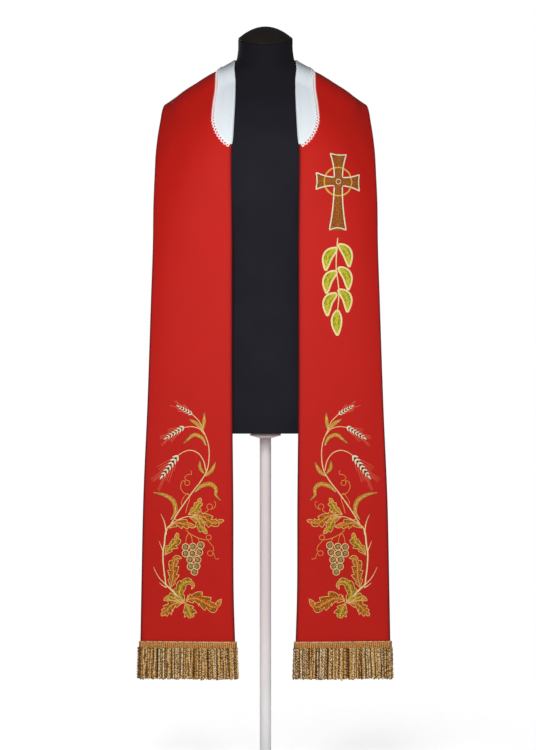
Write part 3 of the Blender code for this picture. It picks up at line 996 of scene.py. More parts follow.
@dataclass(frozen=True)
class Leaf:
    """A leaf along a spine, with lobes that point to its tip. In millimetres."""

    spine: tuple[Place, ...]
    left: float
    right: float
    filling: Thread
    lobes: tuple[int, int] = (0, 0)
    depth: float = 0.58
    lean: float = 0.55
    belly: float = 1.0
    edge: Thread = Thread.BLUSH
    edge_width: float = 1.5
    shadow_rim: float = 0.25
    vein: float = 1.0

    def reaches(self, count: int) -> list[Array]:
        """Distances from the spine to the left edge and to the right one.

        Args:
            count: how many points the spine has.

        Returns:
            The two lists of distances.
        """
        t = np.linspace(0, 1, count) ** self.belly
        plain = (1 - (1 - t) ** 4) * (1 - t**2.4) / 0.76
        both = []
        for half, lobes in ((self.left, self.lobes[0]), (self.right, self.lobes[1])):
            place = (t * lobes) % 1.0
            tooth = np.minimum(place / 0.74, (1 - place) / 0.26) ** 0.75
            notch = 1 - tooth if lobes else 0 * t
            both.append(half * plain * (1 - self.depth * notch) + 0.15)
        return both

    def stitch(self, work: Needlework) -> None:
        """Fills the leaf, then outlines it over a dark edge, which is painted shadow, and stitches its veins.
        """
        line = smooth_line(self.spine, 0.9 if any(self.lobes) else 1.5)
        reaches = self.reaches(len(line))
        lean = self.lean if any(self.lobes) else 0.0
        work.fill(line, *reaches, self.filling, 0.6, lean)
        tangent, beside = directions(line)
        for reach, turn, lobes in zip(reaches, (1, -1), self.lobes):
            border = line + (beside * turn + tangent * lean) * reach[:, None]
            # painted shadow: a dark run a little wider than the outline, under it
            work.run(border, self.edge_width + self.shadow_rim, Thread.BROWN, 0.45)
            work.run(border, self.edge_width, self.edge, 0.7, 0.3)
            for k in range(lobes):
                top = (k + 0.6) / lobes
                if self.vein and 0.1 < top < 0.9:
                    place = round(top ** (1 / self.belly) * (len(line) - 1))
                    root, end = line[max(place - 7, 0)], border[place]
                    bend = root * 0.45 + line[place] * 0.15 + end * 0.4
                    vein = smooth_line([root, bend, root * 0.15 + end * 0.85], 1.2)
                    work.run(vein, np.linspace(0.9, 0.4, len(vein)), Thread.YELLOW, 0.5, 0.45)
        if self.vein:
            middle = line[: round(len(line) * 0.88)]
            work.run(middle, np.linspace(self.vein, 0.5, len(middle)), Thread.CREAM, 0.6, 0.45)


@dataclass(frozen=True)
class Ear:
    """A bearded ear of wheat. In millimetres."""

    base: Place
    tip: Place
    pairs: int
    size: float
    beard: float

    def stitch(self, work: Needlework) -> None:
        """Stitches the beard and a dark core, then the grains in pairs, each over a dark edge. The core and
        the edges are painted shadow between and round the grains.
        """
        base, tip = np.array(self.base), np.array(self.tip)
        way = unit(tip - base)
        beside = np.array([-way[1], way[0]])
        gap = (np.linalg.norm(tip - base) - 5 * self.size) / self.pairs
        for i in range(self.pairs):
            for turn in (1, -1):
                root = base + way * gap * (i + 0.3) + (way + beside * turn * 0.5) * self.size * 4
                reach = self.beard * (0.72 + 0.22 * math.sin(i * 2.1 + turn))
                spread = turn * (0.46 - 0.045 * i)
                bend = root + (way + beside * spread * 1.15) * reach * 0.5
                end = root + (way + beside * spread) * reach
                work.line([tuple(root), tuple(bend), tuple(end)], 1.5, 0.8, Thread.BEARD, 0.35)
        core = np.linspace(base + way * 2, tip, 12)
        # painted shadow between the grains
        work.run(core, 5.8 * self.size * np.linspace(1, 0.5, 12), Thread.BROWN, 0.3)
        self._grain(work, tip - way * self.size * 7.0, way)
        for i in reversed(range(self.pairs)):
            size = self.size * (1.06 - 0.05 * i)
            for turn in (1, -1):
                self._grain(work, base + way * gap * i, way * 0.77 + beside * turn * 0.64, size)

    def _grain(self, work: Needlework, root: Array, lean: Array, size: float = 0.0) -> None:
        """Stitches one grain, broad at its root and pointed at its tip."""
        size = size or self.size
        t = np.linspace(0, 1, 9)
        line = root + unit(lean) * (t * 9.0 * size)[:, None]
        shape = np.sqrt(np.clip(1 - t**1.7, 0, 1)) * np.minimum(1, 0.55 + 2.2 * t)
        # painted shadow round the grain
        work.run(line, (shape * 4.8 + 0.6) * size, Thread.BROWN, 0.45, 0, False)
        work.run(line, (shape * 3.5 + 0.1) * size, Thread.IVORY, 0.85, 0.35, False)


@dataclass(frozen=True)
class Grapes:
    """A hanging bunch of grapes, each a ring round a few strokes. In millimetres."""

    middles: tuple[Place, ...]
    radius: float = 8.1
    ring: float = 2.0
    stroke: float = 1.25
    slides: tuple[float, ...] = (-0.34, 0.0, 0.34)

    def stitch(self, work: Needlework) -> None:
        """Stitches the dark ground, which shows as painted shadow round each grape, and the filling, then the
        ring and the strokes of each grape.
        """
        t = np.linspace(0, 1, 13)
        for reach, thread, height in ((1.0, Thread.BROWN, 0.25), (0.9, Thread.GRAPE_FILL, 0.45)):
            for x, y in self.middles:
                radius = self.radius * reach
                spine = np.stack([np.full(13, x), y + radius * (2 * t - 1)], axis=1)
                half = radius * np.sqrt(np.clip(1 - (2 * t - 1) ** 2, 0, 1))
                work.fill(spine, half, half, thread, height)
        for k, (x, y) in enumerate(self.middles):
            ring = smooth_line(curl((x, y), self.radius - 0.9, 40 * k, 360), 1.5)
            work.run(ring, self.ring, Thread.CREAM, 0.9, 0, False)
            for slide in self.slides:
                middle = np.array((x, y)) + self.radius * slide * np.array((0.8, 0.6))
                half = self.radius * (0.56 - 0.5 * abs(slide)) * np.array((-0.6, 0.8))
                stroke = smooth_line([middle - half, middle + half * 0.1 + (0.5, 0.2), middle + half], 1.4)
                work.run(stroke, self.stroke, Thread.CREAM, 0.85)


@dataclass(frozen=True)
class Stalk:
    """A stalk, twig or tendril. In millimetres."""

    points: tuple[Place, ...]
    start: float
    end: float
    thread: Thread = Thread.CREAM
    height: float = 0.9

    def stitch(self, work: Needlework) -> None:
        """Stitches it."""
        work.line(self.points, self.start, self.end, self.thread, self.height)


def blade(*spine: Place, left: float = 3.4, right: float = 3.0, filling: Thread = Thread.GOLD_FILL) -> Leaf:
    """A narrow leaf of the wheat."""
    return Leaf(spine, left, right, filling, edge=Thread.GOLD, edge_width=1.1, shadow_rim=1.8, vein=1.1)


def tendril(*points: Place, width: float = 1.5, thread: Thread = Thread.GOLD) -> Stalk:
    """A thin tendril."""
    return Stalk(points, width, width * 0.7, thread, 0.7)


SPRAY = (
    # Tendrils
    tendril((95, 326), (107, 331), (113, 343), (108, 356), *curl((99, 352), 5.6, 50, -330), (104, 362),
            (97, 370), (89, 371), *curl((92, 375), 3.2, 230, -170)),
    tendril((71, 284), (62, 288), (54, 294), *curl((51, 301), 6.0, -60, 330), (44, 297), (38, 304),
            *curl((41, 309), 3.0, 200, -150)),
    tendril((97, 245), (83, 237), (66, 231), *curl((53, 235), 5.4, -60, 350), (50, 223), (43, 213),
            (43, 206), *curl((50, 201), 5.6, 130, -330), (41, 197), (38, 189), *curl((34, 191),
            3.0, -20, -170)),
    tendril((103, 286), (99, 303), (94, 318), (97, 329), (108, 319), (112, 307), (107, 300)),
    # Stalks
    Stalk(((136, 259), (122, 284), (107, 306), (84, 337), (67, 359), (56, 379), (51, 407), (53, 438),
          (62, 462), (72, 485), (87, 500)), 3.0, 2.0),
    Stalk(((57, 452), (71, 468), (88, 473), (105, 471)), 2.0, 1.7),
    Stalk(((58, 378), (64, 402), (76, 417), (92, 422), (107, 418), (119, 410)), 2.4, 1.9),
    Stalk(((123, 112), (136, 124), (145, 132), (148, 148), (151, 172), (152, 200), (149, 220), (147, 241),
          (143, 255)), 2.8, 3.6, Thread.LEMON),
    Stalk(((145, 240), (147, 258), (150, 270), (157, 285)), 3.6, 0.8, Thread.LEMON),
    Stalk(((151, 203), (156, 215), (161, 227)), 2.8, 0.7, Thread.LEMON),
    Stalk(((118, 106), (133, 120), (148, 134), (161, 148), (168, 160), (173, 171)), 4.0, 0.8, Thread.LEMON),
    Stalk(((144, 126), (152, 130), (161, 137)), 3.0, 0.7, Thread.LEMON),
    # Narrow leaves
    blade((65, 464), (61, 484), (60, 503), left=3.0),
    blade((66, 466), (76, 478), (93, 489), left=3.6),
    blade((57, 432), (67, 450), (83, 455), (94, 447), (106, 437)),
    blade((61, 366), (46, 379), (37, 397), left=3.2),
    blade((62, 372), (70, 384), (71, 400), left=2.6, filling=Thread.OLIVE_FILL),
    blade((83, 332), (66, 346), (47, 349), (37, 338), (38, 328), (27, 314), left=3.8, right=3.8),
    blade((135, 272), (125, 290), (130, 313), (148, 325), (173, 331), left=4.4, right=3.6),
    # The leafy branch above the grapes
    Leaf(((97, 283), (82, 296), (70, 320)), 11.5, 8.5, Thread.OLIVE_FILL, (4, 3)),
    Leaf(((88, 281), (66, 280), (45, 266), (20, 272)), 11.5, 12.5, Thread.BRONZE_FILL, (5, 4)),
    Leaf(((95, 279), (78, 274), (70, 260), (56, 243)), 12.5, 9.5, Thread.OLIVE_FILL, (4, 3)),
    Leaf(((140, 254), (124, 265), (107, 264), (82, 257)), 11.5, 10.5, Thread.BRONZE_FILL, (4, 3)),
    Stalk(((143, 255), (127, 267), (108, 277), (92, 280), (76, 278)), 3.2, 1.4),
    # The bunch of grapes
    tendril((103, 251), (97, 246), (90, 235), (88, 222), width=1.7, thread=Thread.YELLOW),
    tendril((96, 245), (101, 234), (103, 220), width=1.6, thread=Thread.YELLOW),
    tendril((84, 238), (76, 233), (73, 224), width=1.6, thread=Thread.YELLOW),
    Grapes(((84, 161), (79, 173), (92, 172), (77, 187), (93, 187), (73, 203), (88, 200), (103, 200),
           (70, 218), (87, 215), (103, 214))),
    # Leaves on the outer stalk
    Leaf(((148, 196), (138, 212), (125, 226), (121, 245)), 13.0, 9.0, Thread.OLIVE_FILL, (4, 3)),
    Leaf(((136, 126), (130, 153), (129, 178), (123, 191), (111, 190)), 13.0, 12.5, Thread.BRONZE_FILL,
         (5, 4), belly=0.85),
    # The leaves at the foot
    Leaf(((105, 93), (98, 80), (92, 62)), 16.0, 15.0, Thread.OLIVE_FILL, (3, 3)),
    Leaf(((110, 94), (132, 90), (146, 77), (158, 66)), 12.0, 14.5, Thread.BRONZE_FILL, (5, 5), belly=1.1),
    Leaf(((106, 98), (122, 101), (137, 106), (152, 98)), 9.0, 8.0, Thread.OLIVE_FILL, (3, 3)),
    Leaf(((104, 99), (82, 104), (62, 95), (43, 85), (26, 103)), 16.0, 16.5, Thread.BRONZE_FILL, (5, 5),
         belly=0.8),
    Leaf(((109, 92), (117, 116), (109, 134), (95, 140), (87, 131), (91, 123)), 11.0, 12.0,
         Thread.OLIVE_FILL, (3, 6), 0.35, 0.3, 0.7),
    Stalk(((99, 111), (99, 100), (106, 94), (118, 95), (130, 99)), 1.8, 1.0),
    # Ears of wheat
    Ear((87, 500), (119, 518), 5, 0.85, 22),
    Ear((105, 472), (147, 446), 6, 1.02, 30),
    Ear((119, 410), (157, 361), 6, 1.25, 46),
)


@dataclass(frozen=True)
class FlaredCross:
    """A cross with flared arms and a ring behind its middle, for the breast. In millimetres."""

    middle: Place
    up: float = 62.0
    down: float = 106.0
    out: float = 49.0
    waist: float = 9.0
    flare: float = 18.5
    ring: float = 31.0
    ring_width: float = 3.8
    outline: float = 2.9
    shadow_rim: float = 1.4

    def stitch(self, work: Needlework) -> None:
        """Stitches the ring, then the four arms with their outlines, each laid over a wider dark brown run
        that is painted shadow.
        """
        ring = smooth_line(curl(self.middle, self.ring, 0, 360), 1.6)
        work.run(ring, self.ring_width + self.shadow_rim, Thread.BROWN, 0.4, 0, False)
        work.run(ring, self.ring_width, Thread.YELLOW, 0.7, 0.25, False)
        for way, reach in (((0, 1), self.up), ((1, 0), self.out), ((0, -1), self.down), ((-1, 0), self.out)):
            self._arm(work, np.array(way, float), reach)
        middle = np.array(self.middle)
        square = np.linspace((0, -self.waist - 1), (0, self.waist + 1), 9) + middle
        reach = np.full(9, self.waist + 1)
        work.fill(square, reach, reach, Thread.COPPER_FILL, 0.6)
        work.line(curl(self.middle, self.waist * 0.6, 0, 360), 1.9, 1.9, Thread.IVORY, 1.1)

    def _arm(self, work: Needlework, way: Array, reach: float) -> None:
        """Stitches one arm."""
        beside = np.array([-way[1], way[0]])
        t = np.linspace(0, 1, 25)
        spread = self.waist + (self.flare - self.waist) * t**2.0
        root = np.array(self.middle)
        spine = root + way * (self.waist + (reach - self.waist) * t)[:, None]
        work.fill(spine, spread, spread, Thread.COPPER_FILL, 0.6)
        across = np.linspace(-1, 1, 13)[:, None]
        end = root + way * (reach - (1 - across**2) * reach * 0.05) + beside * across * self.flare
        sides = [spine + beside * turn * spread[:, None] for turn in (1, -1)]
        for line in (*sides, end):
            # painted shadow under the outline
            work.run(line, self.outline + self.shadow_rim, Thread.BROWN, 0.45)
            work.run(line, self.outline, Thread.IVORY, 0.75, 0.3)


SPRIG_LENGTH = 212.0


def sprig(top: Place) -> tuple[Union[Leaf, Stalk], ...]:
    """A slender hanging sprig of pointed leaves, for below the cross.

    Args:
        top: where it hangs from, in millimetres.

    Returns:
        Its stalk and leaves.
    """
    x, y = top
    look = {"filling": Thread.LIME_FILL, "edge": Thread.LEMON, "edge_width": 4.4, "vein": 0.0}
    parts: list[Union[Leaf, Stalk]] = [
        Leaf(((x, y - 156), (x - 2, y - 182), (x, y - SPRIG_LENGTH)), 10.0, 10.0, **look),
        Stalk(((x, y), (x - 3, y - 60), (x + 3, y - 120), (x, y - 162)), 2.6, 2.6, Thread.LEMON),
    ]
    for k, drop in enumerate((14, 64, 112)):
        for turn in (1, -1):
            root = (x + turn, y - drop - 8 * (turn < 0))
            bend = (x + turn * 19, root[1] - 15)
            tip = (x + turn * (26 - 2 * k), root[1] - 50)
            parts.append(Leaf((root, bend, tip), 9.2, 9.2, **look))
    return tuple(parts)


@dataclass
class Embroidery:
    """The embroidery of both fronts. Only the viewer's right breast has a cross and a sprig."""

    cloth: StoleCloth
    cross: FlaredCross = FlaredCross((84, 1002))
    sprig_top: Place = (84, 880)

    def build(self) -> dict[Side, Piece]:
        """Stitches both fronts.

        Returns:
            The embroidery of each side.
        """
        made = {}
        for side in Side:
            work = Needlework(self.cloth, side)
            for motif in SPRAY:
                motif.stitch(work)
            if side is Side.RIGHT:
                self.cross.stitch(work)
                for motif in sprig(self.sprig_top):
                    motif.stitch(work)
            made[side] = work.finish(f"embroidery_{side.word}")
        return made


# Neck band and lace


@dataclass
class NeckBand:
    """The white band laid round the neck, rolled over the inner edge, and its lace edge.

    The profiles are columns of the band, as (across, lift) in millimetres: the roll over the inner
    edge, and the hem at the outer one, which is counted from the band's width.
    """

    cloth: StoleCloth
    width: float = 39.0 * MM
    from_row: float = 7.96
    end_length: float = 64.0 * MM
    end_round: float = 1.55
    narrowing: float = 0.13
    narrowed: tuple[float, float] = (9.5, 13.0)
    tucked: tuple[float, float] = (9.0, 12.0)
    tuck: float = 0.6
    tip: float = 3.0 * MM
    wall: float = 0.7 * MM
    step: float = 3.0 * MM
    step_ease: float = 1.25
    lift: float = 1.6
    full_profile: float = 22.0
    flat_shares: tuple[float, ...] = (0.3, 0.5, 0.7)
    roll_profile: tuple[Place, ...] = ((-1.3, -2.5), (-2.0, -1.4), (-2.1, -0.2), (-1.3, 0.8), (0.2, 1.3),
                                       (2.2, 1.1), (4.2, 0.5), (5.4, 0.15))
    hem_profile: tuple[Place, ...] = ((-3.6, 0.0), (-2.6, 0.5), (-1.2, 0.5), (-0.1, -0.1))
    pitch: float = 7.4 * MM
    tape_out: float = 0.9 * MM
    tape_width: float = 3.2 * MM
    arch_foot: float = 1.6 * MM
    arch_top: float = 6.8 * MM
    arch_round: float = 0.36
    arch_width: float = 2.3 * MM
    knot_out: tuple[float, float] = (7.0 * MM, 8.6 * MM)
    knot_width: float = 1.8 * MM

    def __post_init__(self) -> None:
        """Finds where the band starts and ends along the inner edge."""
        self.start = self.cloth.row_distance(self.from_row)
        self.end = self.cloth.length

    def over(self, along: Array, rows: tuple[float, float]) -> Array:
        """Rises from 0 to 1 between two rows of the table."""
        return smooth_step(along, *(self.cloth.row_distance(row) for row in rows))

    def width_at(self, along: Array) -> Array:
        """The band's width, which rounds off to a tip at its front end."""
        past = np.clip((along - self.start) / self.end_length, 0, 1)
        rounded = 1 - (1 - past) ** self.end_round
        width = self.width * (1 - self.narrowing * self.over(along, self.narrowed))
        return np.maximum(width * rounded ** (1 / self.end_round), self.tip)

    def build(self, finish: Material) -> Piece:
        """Builds the band: rolled at its inner edge, hemmed at its outer one.

        Args:
            finish: the cloth's material.

        Returns:
            The band.
        """
        ease = np.linspace(0, 1, round((self.end - self.start) / self.step)) ** self.step_ease
        along = self.start + (self.end - self.start) * ease
        widths = self.width_at(along)[:, None] / MM
        small = np.minimum(1, widths / self.full_profile)
        roll = small * (1 - self.tuck * self.over(along, self.tucked)[:, None])
        rolled, hem, flat = (np.array(p) for p in (self.roll_profile, self.hem_profile, self.flat_shares))
        across = np.concatenate([rolled[:, 0] * roll, flat * widths, widths + hem[:, 0] * small], axis=1)
        lift = np.concatenate([rolled[:, 1] * roll, 0 * flat * small, hem[:, 1] * small], axis=1)
        both = [self.cloth.spot(side, across * MM, along[:, None], (lift + self.lift) * MM) for side in Side]
        points = np.concatenate([both[0], both[1][::-1][1:]])
        lengths = np.concatenate([along, 2 * self.end - along[::-1][1:]])
        bm = bmesh.new()
        add_grid(bm, points, pairs(np.concatenate([across, across[::-1][1:]]) * MM, lengths[:, None]))
        piece = add_piece("stole_neck_band", bm, [finish], ["neck_band"])
        add_wall(piece, self.wall)
        return piece

    def edge_line(self) -> Array:
        """The band's outer edge on one side, as (across, along), in eight steps for each scallop."""
        along = self.start + (self.end - self.start) * np.linspace(0, 1, 600) ** 2
        line = np.stack([self.width_at(along), along], axis=1)
        return even_steps(line, round(run_length(line)[-1] / self.pitch) * 8)

    def build_lace(self, finish: Material) -> Piece:
        """Builds the lace: a tape along the band's edge, and scallops, each an arch with a knot.

        Args:
            finish: the lace's material.

        Returns:
            The lace.
        """
        bm = bmesh.new()
        line = self.edge_line()
        outward = -directions(line)[1]
        arch = np.sin(math.pi * np.linspace(0, 1, 9)) ** self.arch_round
        arch = (self.arch_foot + (self.arch_top - self.arch_foot) * arch)[:, None]
        knot = np.linspace(*self.knot_out, 3)[:, None]
        for side in Side:
            self._cord(bm, side, line + outward * self.tape_out, self.tape_width)
            for k in range(0, len(line) - 1, 8):
                self._cord(bm, side, line[k : k + 9] + outward[k : k + 9] * arch, self.arch_width)
                self._cord(bm, side, line[k + 4] + outward[k + 4] * knot, self.knot_width)
        return add_piece("stole_neck_lace", bm, [finish], ["neck_lace"])

    def _cord(self, bm: Mesh, side: Side, line: Array, thick: float) -> None:
        """Adds a crowned cord that lies on the cloth along a line of (across, along)."""
        offset = np.array([-1.0, -0.5, 0.5, 1.0]) * thick / 2
        places = line[:, None] - directions(line)[1][:, None] * offset[:, None]
        lift = 0.1 * MM + np.array([0.0, 1.0, 1.0, 0.0]) * thick
        points = self.cloth.spot(side, places[..., 0], places[..., 1], lift)
        add_grid(bm, points, pairs(offset, run_length(line)[:, None]), flip=side is Side.LEFT)


# Fringe


class StrandRow(NamedTuple):
    """A row of strands: how many, how far forward and how thick (mm), their tones, rings and sway."""

    count: int
    depth: float
    radius: float
    darkest: float
    brightest: float
    rings: int
    sway: float


@dataclass
class Fringe:
    """The gold fringe on one hem: a woven head, and twisted strands in three rows, the middle one dark as
    painted shadow between the other two.

    The strands are open at their upper ends, a little above the head's lower edge. They are wider
    than the head is thick, so their rims stand out in front of it and behind it. The head is open
    at its two sides, and the cord along its top at one end.
    """

    cloth: StoleCloth
    side: Side
    bm: Mesh = field(default_factory=bmesh.new)
    head_top: float = 0.2976
    head_bottom: float = 0.2828
    strand_end: float = 0.2170
    beyond: float = 3.5 * MM
    edge_cord: float = 0.9 * MM
    edge_lift: float = 1.9 * MM
    edge_tone: float = 1.3
    edge_steps: int = 120
    head_columns: int = 520
    head_rows: int = 26
    head_front: float = 0.72
    head_ribs: int = 3
    rib_pitch: float = 2.6 * MM
    rows: tuple[StrandRow, ...] = (
        StrandRow(42, -2.2, 2.00, 0.0, 1.2, 34, 0.6),
        # the middle row's tones lie below zero, which gives painted shadow in the gaps between the front and
        # back strands
        StrandRow(92, 0.0, 2.25, -0.4, -0.15, 18, 0.25),
        StrandRow(44, 2.4, 1.90, 0.0, 1.4, 60, 1.0),
    )
    ply_turn: float = 12.6 * MM
    ply_depth: float = 0.30
    strand_sides: int = 8
    overlap: float = 1.5 * MM
    thickness: tuple[float, float] = (0.80, 1.08)
    taper: tuple[tuple[float, ...], ...] = ((0, 0.9, 0.96, 1), (1, 0.92, 1.12, 0.7))
    spread: float = 0.022
    jitter: float = 0.24
    end_spread: float = 1.2
    seed: int = 11

    def hem_point(self, share: Span, height: Span, lift: Span) -> Array:
        """Places on the fringe.

        Args:
            share: how far across the head, from 0 to 1.
            height: height above the floor.
            lift: distance off the cloth's outer face.

        Returns:
            The points.
        """
        share, height, lift = np.broadcast_arrays(share, height, lift)
        across = share * (self.cloth.widths[0] + 2 * self.beyond) - self.beyond
        points = self.cloth.spot(self.side, across, np.maximum(height - SECTIONS[0].inner[2], 0.0), lift)
        points[..., 2] = height
        return points

    def build(self, cord: Material, braid: Material) -> Piece:
        """Builds the fringe.

        Args:
            cord: the strands' material.
            braid: the head's material.

        Returns:
            The fringe.
        """
        tone = self.bm.verts.layers.float.new("tone")
        for vert in self._head():
            vert[tone] = self.edge_tone
        rng = np.random.default_rng(self.seed + self.side.value)
        for row in self.rows:
            shares = (np.arange(row.count) + 0.5 + rng.normal(0, self.jitter, row.count)) / row.count
            for share in shares:
                verts = self._strand(float(share), row, rng)
                value = rng.uniform(row.darkest, row.brightest)
                for vert in verts:
                    vert[tone] = value
        node = f"fringe_{self.side.word}"
        return add_piece(f"gold_{node}", self.bm, [cord, braid], [node])

    def _head(self) -> list[Vert]:
        """Adds the woven head, a flat tube with ribs in rows.

        Returns:
            The vertices of the cord along the head's top.
        """
        share = np.linspace(0, 1, self.head_columns)[None, :]
        turn = np.linspace(0, 1, self.head_rows)[:, None]
        face = np.clip(turn / self.head_front, 0, 1)
        tall = self.head_top - self.head_bottom
        height = self.head_bottom + tall * face - tall * smooth_step(turn, self.head_front, 1.0)
        across = share * self.cloth.widths[0]
        row = np.abs(np.sin(face * math.pi * self.head_ribs))
        slant = np.where((face * self.head_ribs).astype(int) % 2, 1.0, -1.0) * face * self.rib_pitch * 3
        rib = np.sin((across + slant) * 2 * math.pi / self.rib_pitch)
        lift = 0.4 + 1.3 * np.sin(math.pi * np.clip(face, 0.06, 0.94)) ** 0.3 + row * (0.5 + 0.4 * rib)
        lift = np.where(turn < self.head_front, lift, 0.35)
        ends = np.minimum(smooth_step(share, 0, 0.008), 1 - smooth_step(share, 0.992, 1))
        points = self.hem_point(share, height, (lift * ends + 0.3) * MM)
        points[-1] = points[0]
        add_grid(self.bm, points, pairs(across, face * tall), 1, flip=self.side is Side.LEFT, weld=True)
        across = np.linspace(0, 1, self.edge_steps)
        line = self.hem_point(across, self.head_top - self.edge_cord, self.edge_lift)
        angle = np.linspace(0, 2 * math.pi, 6, endpoint=False)
        ring = np.stack([0 * angle, np.cos(angle), np.sin(angle)], axis=1) * self.edge_cord
        uvs = pairs(np.linspace(0, 1, 7)[None, :], (across * self.cloth.widths[0])[:, None])
        return add_tube(self.bm, line[:, None, :] + ring[None], uvs)

    def _strand(self, share: float, row: StrandRow, rng: np.random.Generator) -> list[Vert]:
        """Adds one strand, which sways a little and ends in a small loop.

        Args:
            share: where it hangs, across the head.
            row: the row of strands that it is in.
            rng: the random numbers of this side.

        Returns:
            The strand's vertices.
        """
        t = np.linspace(0, 1, row.rings)
        end = self.strand_end + rng.normal(0, self.end_spread) * MM
        top = self.head_bottom + self.overlap
        height = top + (end - top) * t
        root = self.hem_point(share, self.head_bottom, row.depth * MM)
        sway = rng.normal(0, 1.0) * MM * t**1.4 + rng.normal(0, 0.5) * MM * np.sin(t * math.pi * 2)
        lean = (share - 0.5) * self.cloth.widths[0] * self.spread * t * self.side.value
        forward = rng.normal(0, 0.5) * MM * t + rng.normal(0, 0.4) * MM * np.sin(t * math.pi)
        centre = np.stack([root[0] + sway * row.sway + lean, root[1] + forward, height], axis=1)
        angle = np.linspace(0, 2 * math.pi, self.strand_sides, endpoint=False)
        ring = np.stack([np.cos(angle), np.sin(angle), 0 * angle], axis=1)
        phase = rng.uniform(0, math.pi)
        turn = 2 * math.pi * (top - height) / self.ply_turn + phase
        reach = 1 + self.ply_depth * np.cos(2 * (angle[None, :] - turn[:, None]))
        thick = row.radius * MM * rng.uniform(*self.thickness) * np.interp(t, *self.taper)
        rings = centre[:, None, :] + ring[None, :, :] * (reach * thick[:, None])[..., None]
        around = np.linspace(0, 1, self.strand_sides + 1)[None, :] - phase / (2 * math.pi)
        uvs = pairs(around + round(share * 500), (top - height)[:, None])
        return add_tube(self.bm, rings[::-1], uvs[::-1])


# Dress form and stand


@dataclass
class DressForm:
    """The limbless dress form that the stole rests on."""

    sides: int = 96
    steps: int = 6
    lean_ease: float = 5.0
    mean_radius: float = 0.14
    cap_rise: float = 26.2 * MM
    cap_rim: float = 1.2 * MM
    cap_rings: int = 22

    def ring_points(self, places: Array, spread: Array) -> Array:
        """Points on rings of the form.

        Args:
            places: the rings, in rows of the table.
            spread: how far each ring is drawn in towards its middle, 1 for not at all.

        Returns:
            The points, rings by sides + 1 by 3.
        """
        track = Track(FORM_RINGS, [(r.z, r.half_width) for r in FORM_RINGS])
        z, half, front, back, square, lean = track.at(places).T[:, :, None]
        angle = np.linspace(0, 2 * math.pi, self.sides + 1)[None, :]
        cosine, sine = np.cos(angle), np.sin(angle)
        x = half * np.sign(cosine) * np.abs(cosine) ** (2 / square) * spread[:, None]
        reach = np.where(sine > 0, back, front)
        y = reach * np.sign(sine) * np.abs(sine) ** (2 / square) * spread[:, None]
        return np.stack([x, y, z + lean * y * (1 - self.lean_ease * y)], axis=2)

    def build(self, jersey: Material) -> Piece:
        """Builds the torso and neck.

        Args:
            jersey: the material.

        Returns:
            The torso.
        """
        last = len(FORM_RINGS) - 1
        drawn = np.array([0.0, 0.5, 0.97])
        rings = last * self.steps + 1
        places = np.concatenate([np.zeros(3), np.linspace(0, last, rings), np.full(3, last)])
        points = self.ring_points(places, np.concatenate([drawn, np.ones(rings), drawn[::-1]]))
        around = np.linspace(0, 2 * math.pi * self.mean_radius, self.sides + 1)
        bm = bmesh.new()
        add_grid(bm, points, pairs(around[None, :], points[..., 2]), weld=True)
        return add_piece("form_torso_cover", bm, [jersey], ["form_torso"])

    def build_cap(self, finish: Material) -> Piece:
        """Builds the domed cap on the slanting top of the neck.

        Args:
            finish: the material.

        Returns:
            The cap.
        """
        turn = np.linspace(math.pi / 2, 0, self.cap_rings)
        spread = np.concatenate([[0.0, 0.985, 1.0], np.sin(turn)])
        dome = self.cap_rim + self.cap_rise * np.cos(turn) ** 2
        rise = np.concatenate([np.array([0.3, 0.3, 0.5]) * MM, dome])
        points = self.ring_points(np.full(len(spread), len(FORM_RINGS) - 1.0), spread)
        points = points + unit(np.array([0, -FORM_RINGS[-1].lean, 1.0])) * rise[:, None, None]
        bm = bmesh.new()
        add_grid(bm, points, points[..., :2], weld=True)
        return add_piece("form_neck_cap", bm, [finish], ["form_cap"])


@dataclass
class Stand:
    """The plain round base and the pole that carry the dress form."""

    base_radius: float = 0.170
    base_thick: float = 0.008
    rim: float = 0.002
    pole_radius: float = 0.0125
    flange_radius: float = 0.034
    flange_thick: float = 0.006
    gap: float = 0.3 * MM
    edge: float = 0.6 * MM
    bevel_over: float = math.radians(24)
    sharp_over: float = math.radians(30)
    steps: int = 96

    def turned(self, name: str, profile: Sequence[Place], finish: Material, node: str) -> None:
        """Spins a profile of (radius, height) into a round piece with softened edges.

        Args:
            name: the piece's name.
            profile: the outline, from the bottom up its outside.
            finish: the material.
            node: the CAD node that it replaces.
        """
        bm = bmesh.new()
        verts = [bm.verts.new((radius, 0, z)) for radius, z in profile]
        edges = [bm.edges.new(pair) for pair in zip(verts, verts[1:])]
        bmesh.ops.spin(bm, geom=verts + edges, axis=(0, 0, 1), cent=(0, 0, 0), angle=2 * math.pi,
                       steps=self.steps, use_merge=True)
        bmesh.ops.remove_doubles(bm, verts=bm.verts, dist=0.01 * MM)
        bmesh.ops.recalc_face_normals(bm, faces=bm.faces)
        sharp = [edge for edge in bm.edges if edge.calc_face_angle(0) > self.bevel_over]
        bmesh.ops.bevel(bm, geom=sharp, offset=self.edge, offset_type="OFFSET", affect="EDGES", segments=2,
                        profile=0.5, material=-1)
        for face in bm.faces:
            face.smooth = True
        piece = add_piece(name, bm, [finish], [node])
        piece.data.set_sharp_from_angle(angle=self.sharp_over)

    def build(self, finish: Material) -> None:
        """Builds the base and the pole.

        Args:
            finish: the material of both.
        """
        radius, thick, rim = self.base_radius, self.base_thick, self.rim
        self.turned("stand_round_base", [(0, 0), (radius - rim, 0), (radius, rim), (radius, thick - rim),
                    (radius - rim, thick), (0, thick)], finish, "stand_base")
        foot, top = thick + self.gap, FORM_RINGS[0].z - self.gap
        wide, thin, plate = self.flange_radius, self.pole_radius, self.flange_thick
        self.turned("stand_upright_pole", [(0, foot), (wide, foot), (wide, foot + plate),
                    (thin, foot + 2 * plate), (thin, top - 2 * plate), (wide, top - plate), (wide, top),
                    (0, top)], finish, "stand_pole")


# Studio


class Lamp(NamedTuple):
    """A square area lamp, with its size in metres and its power in watts."""

    name: str
    place: Point
    aim: Point
    size: float
    power: float


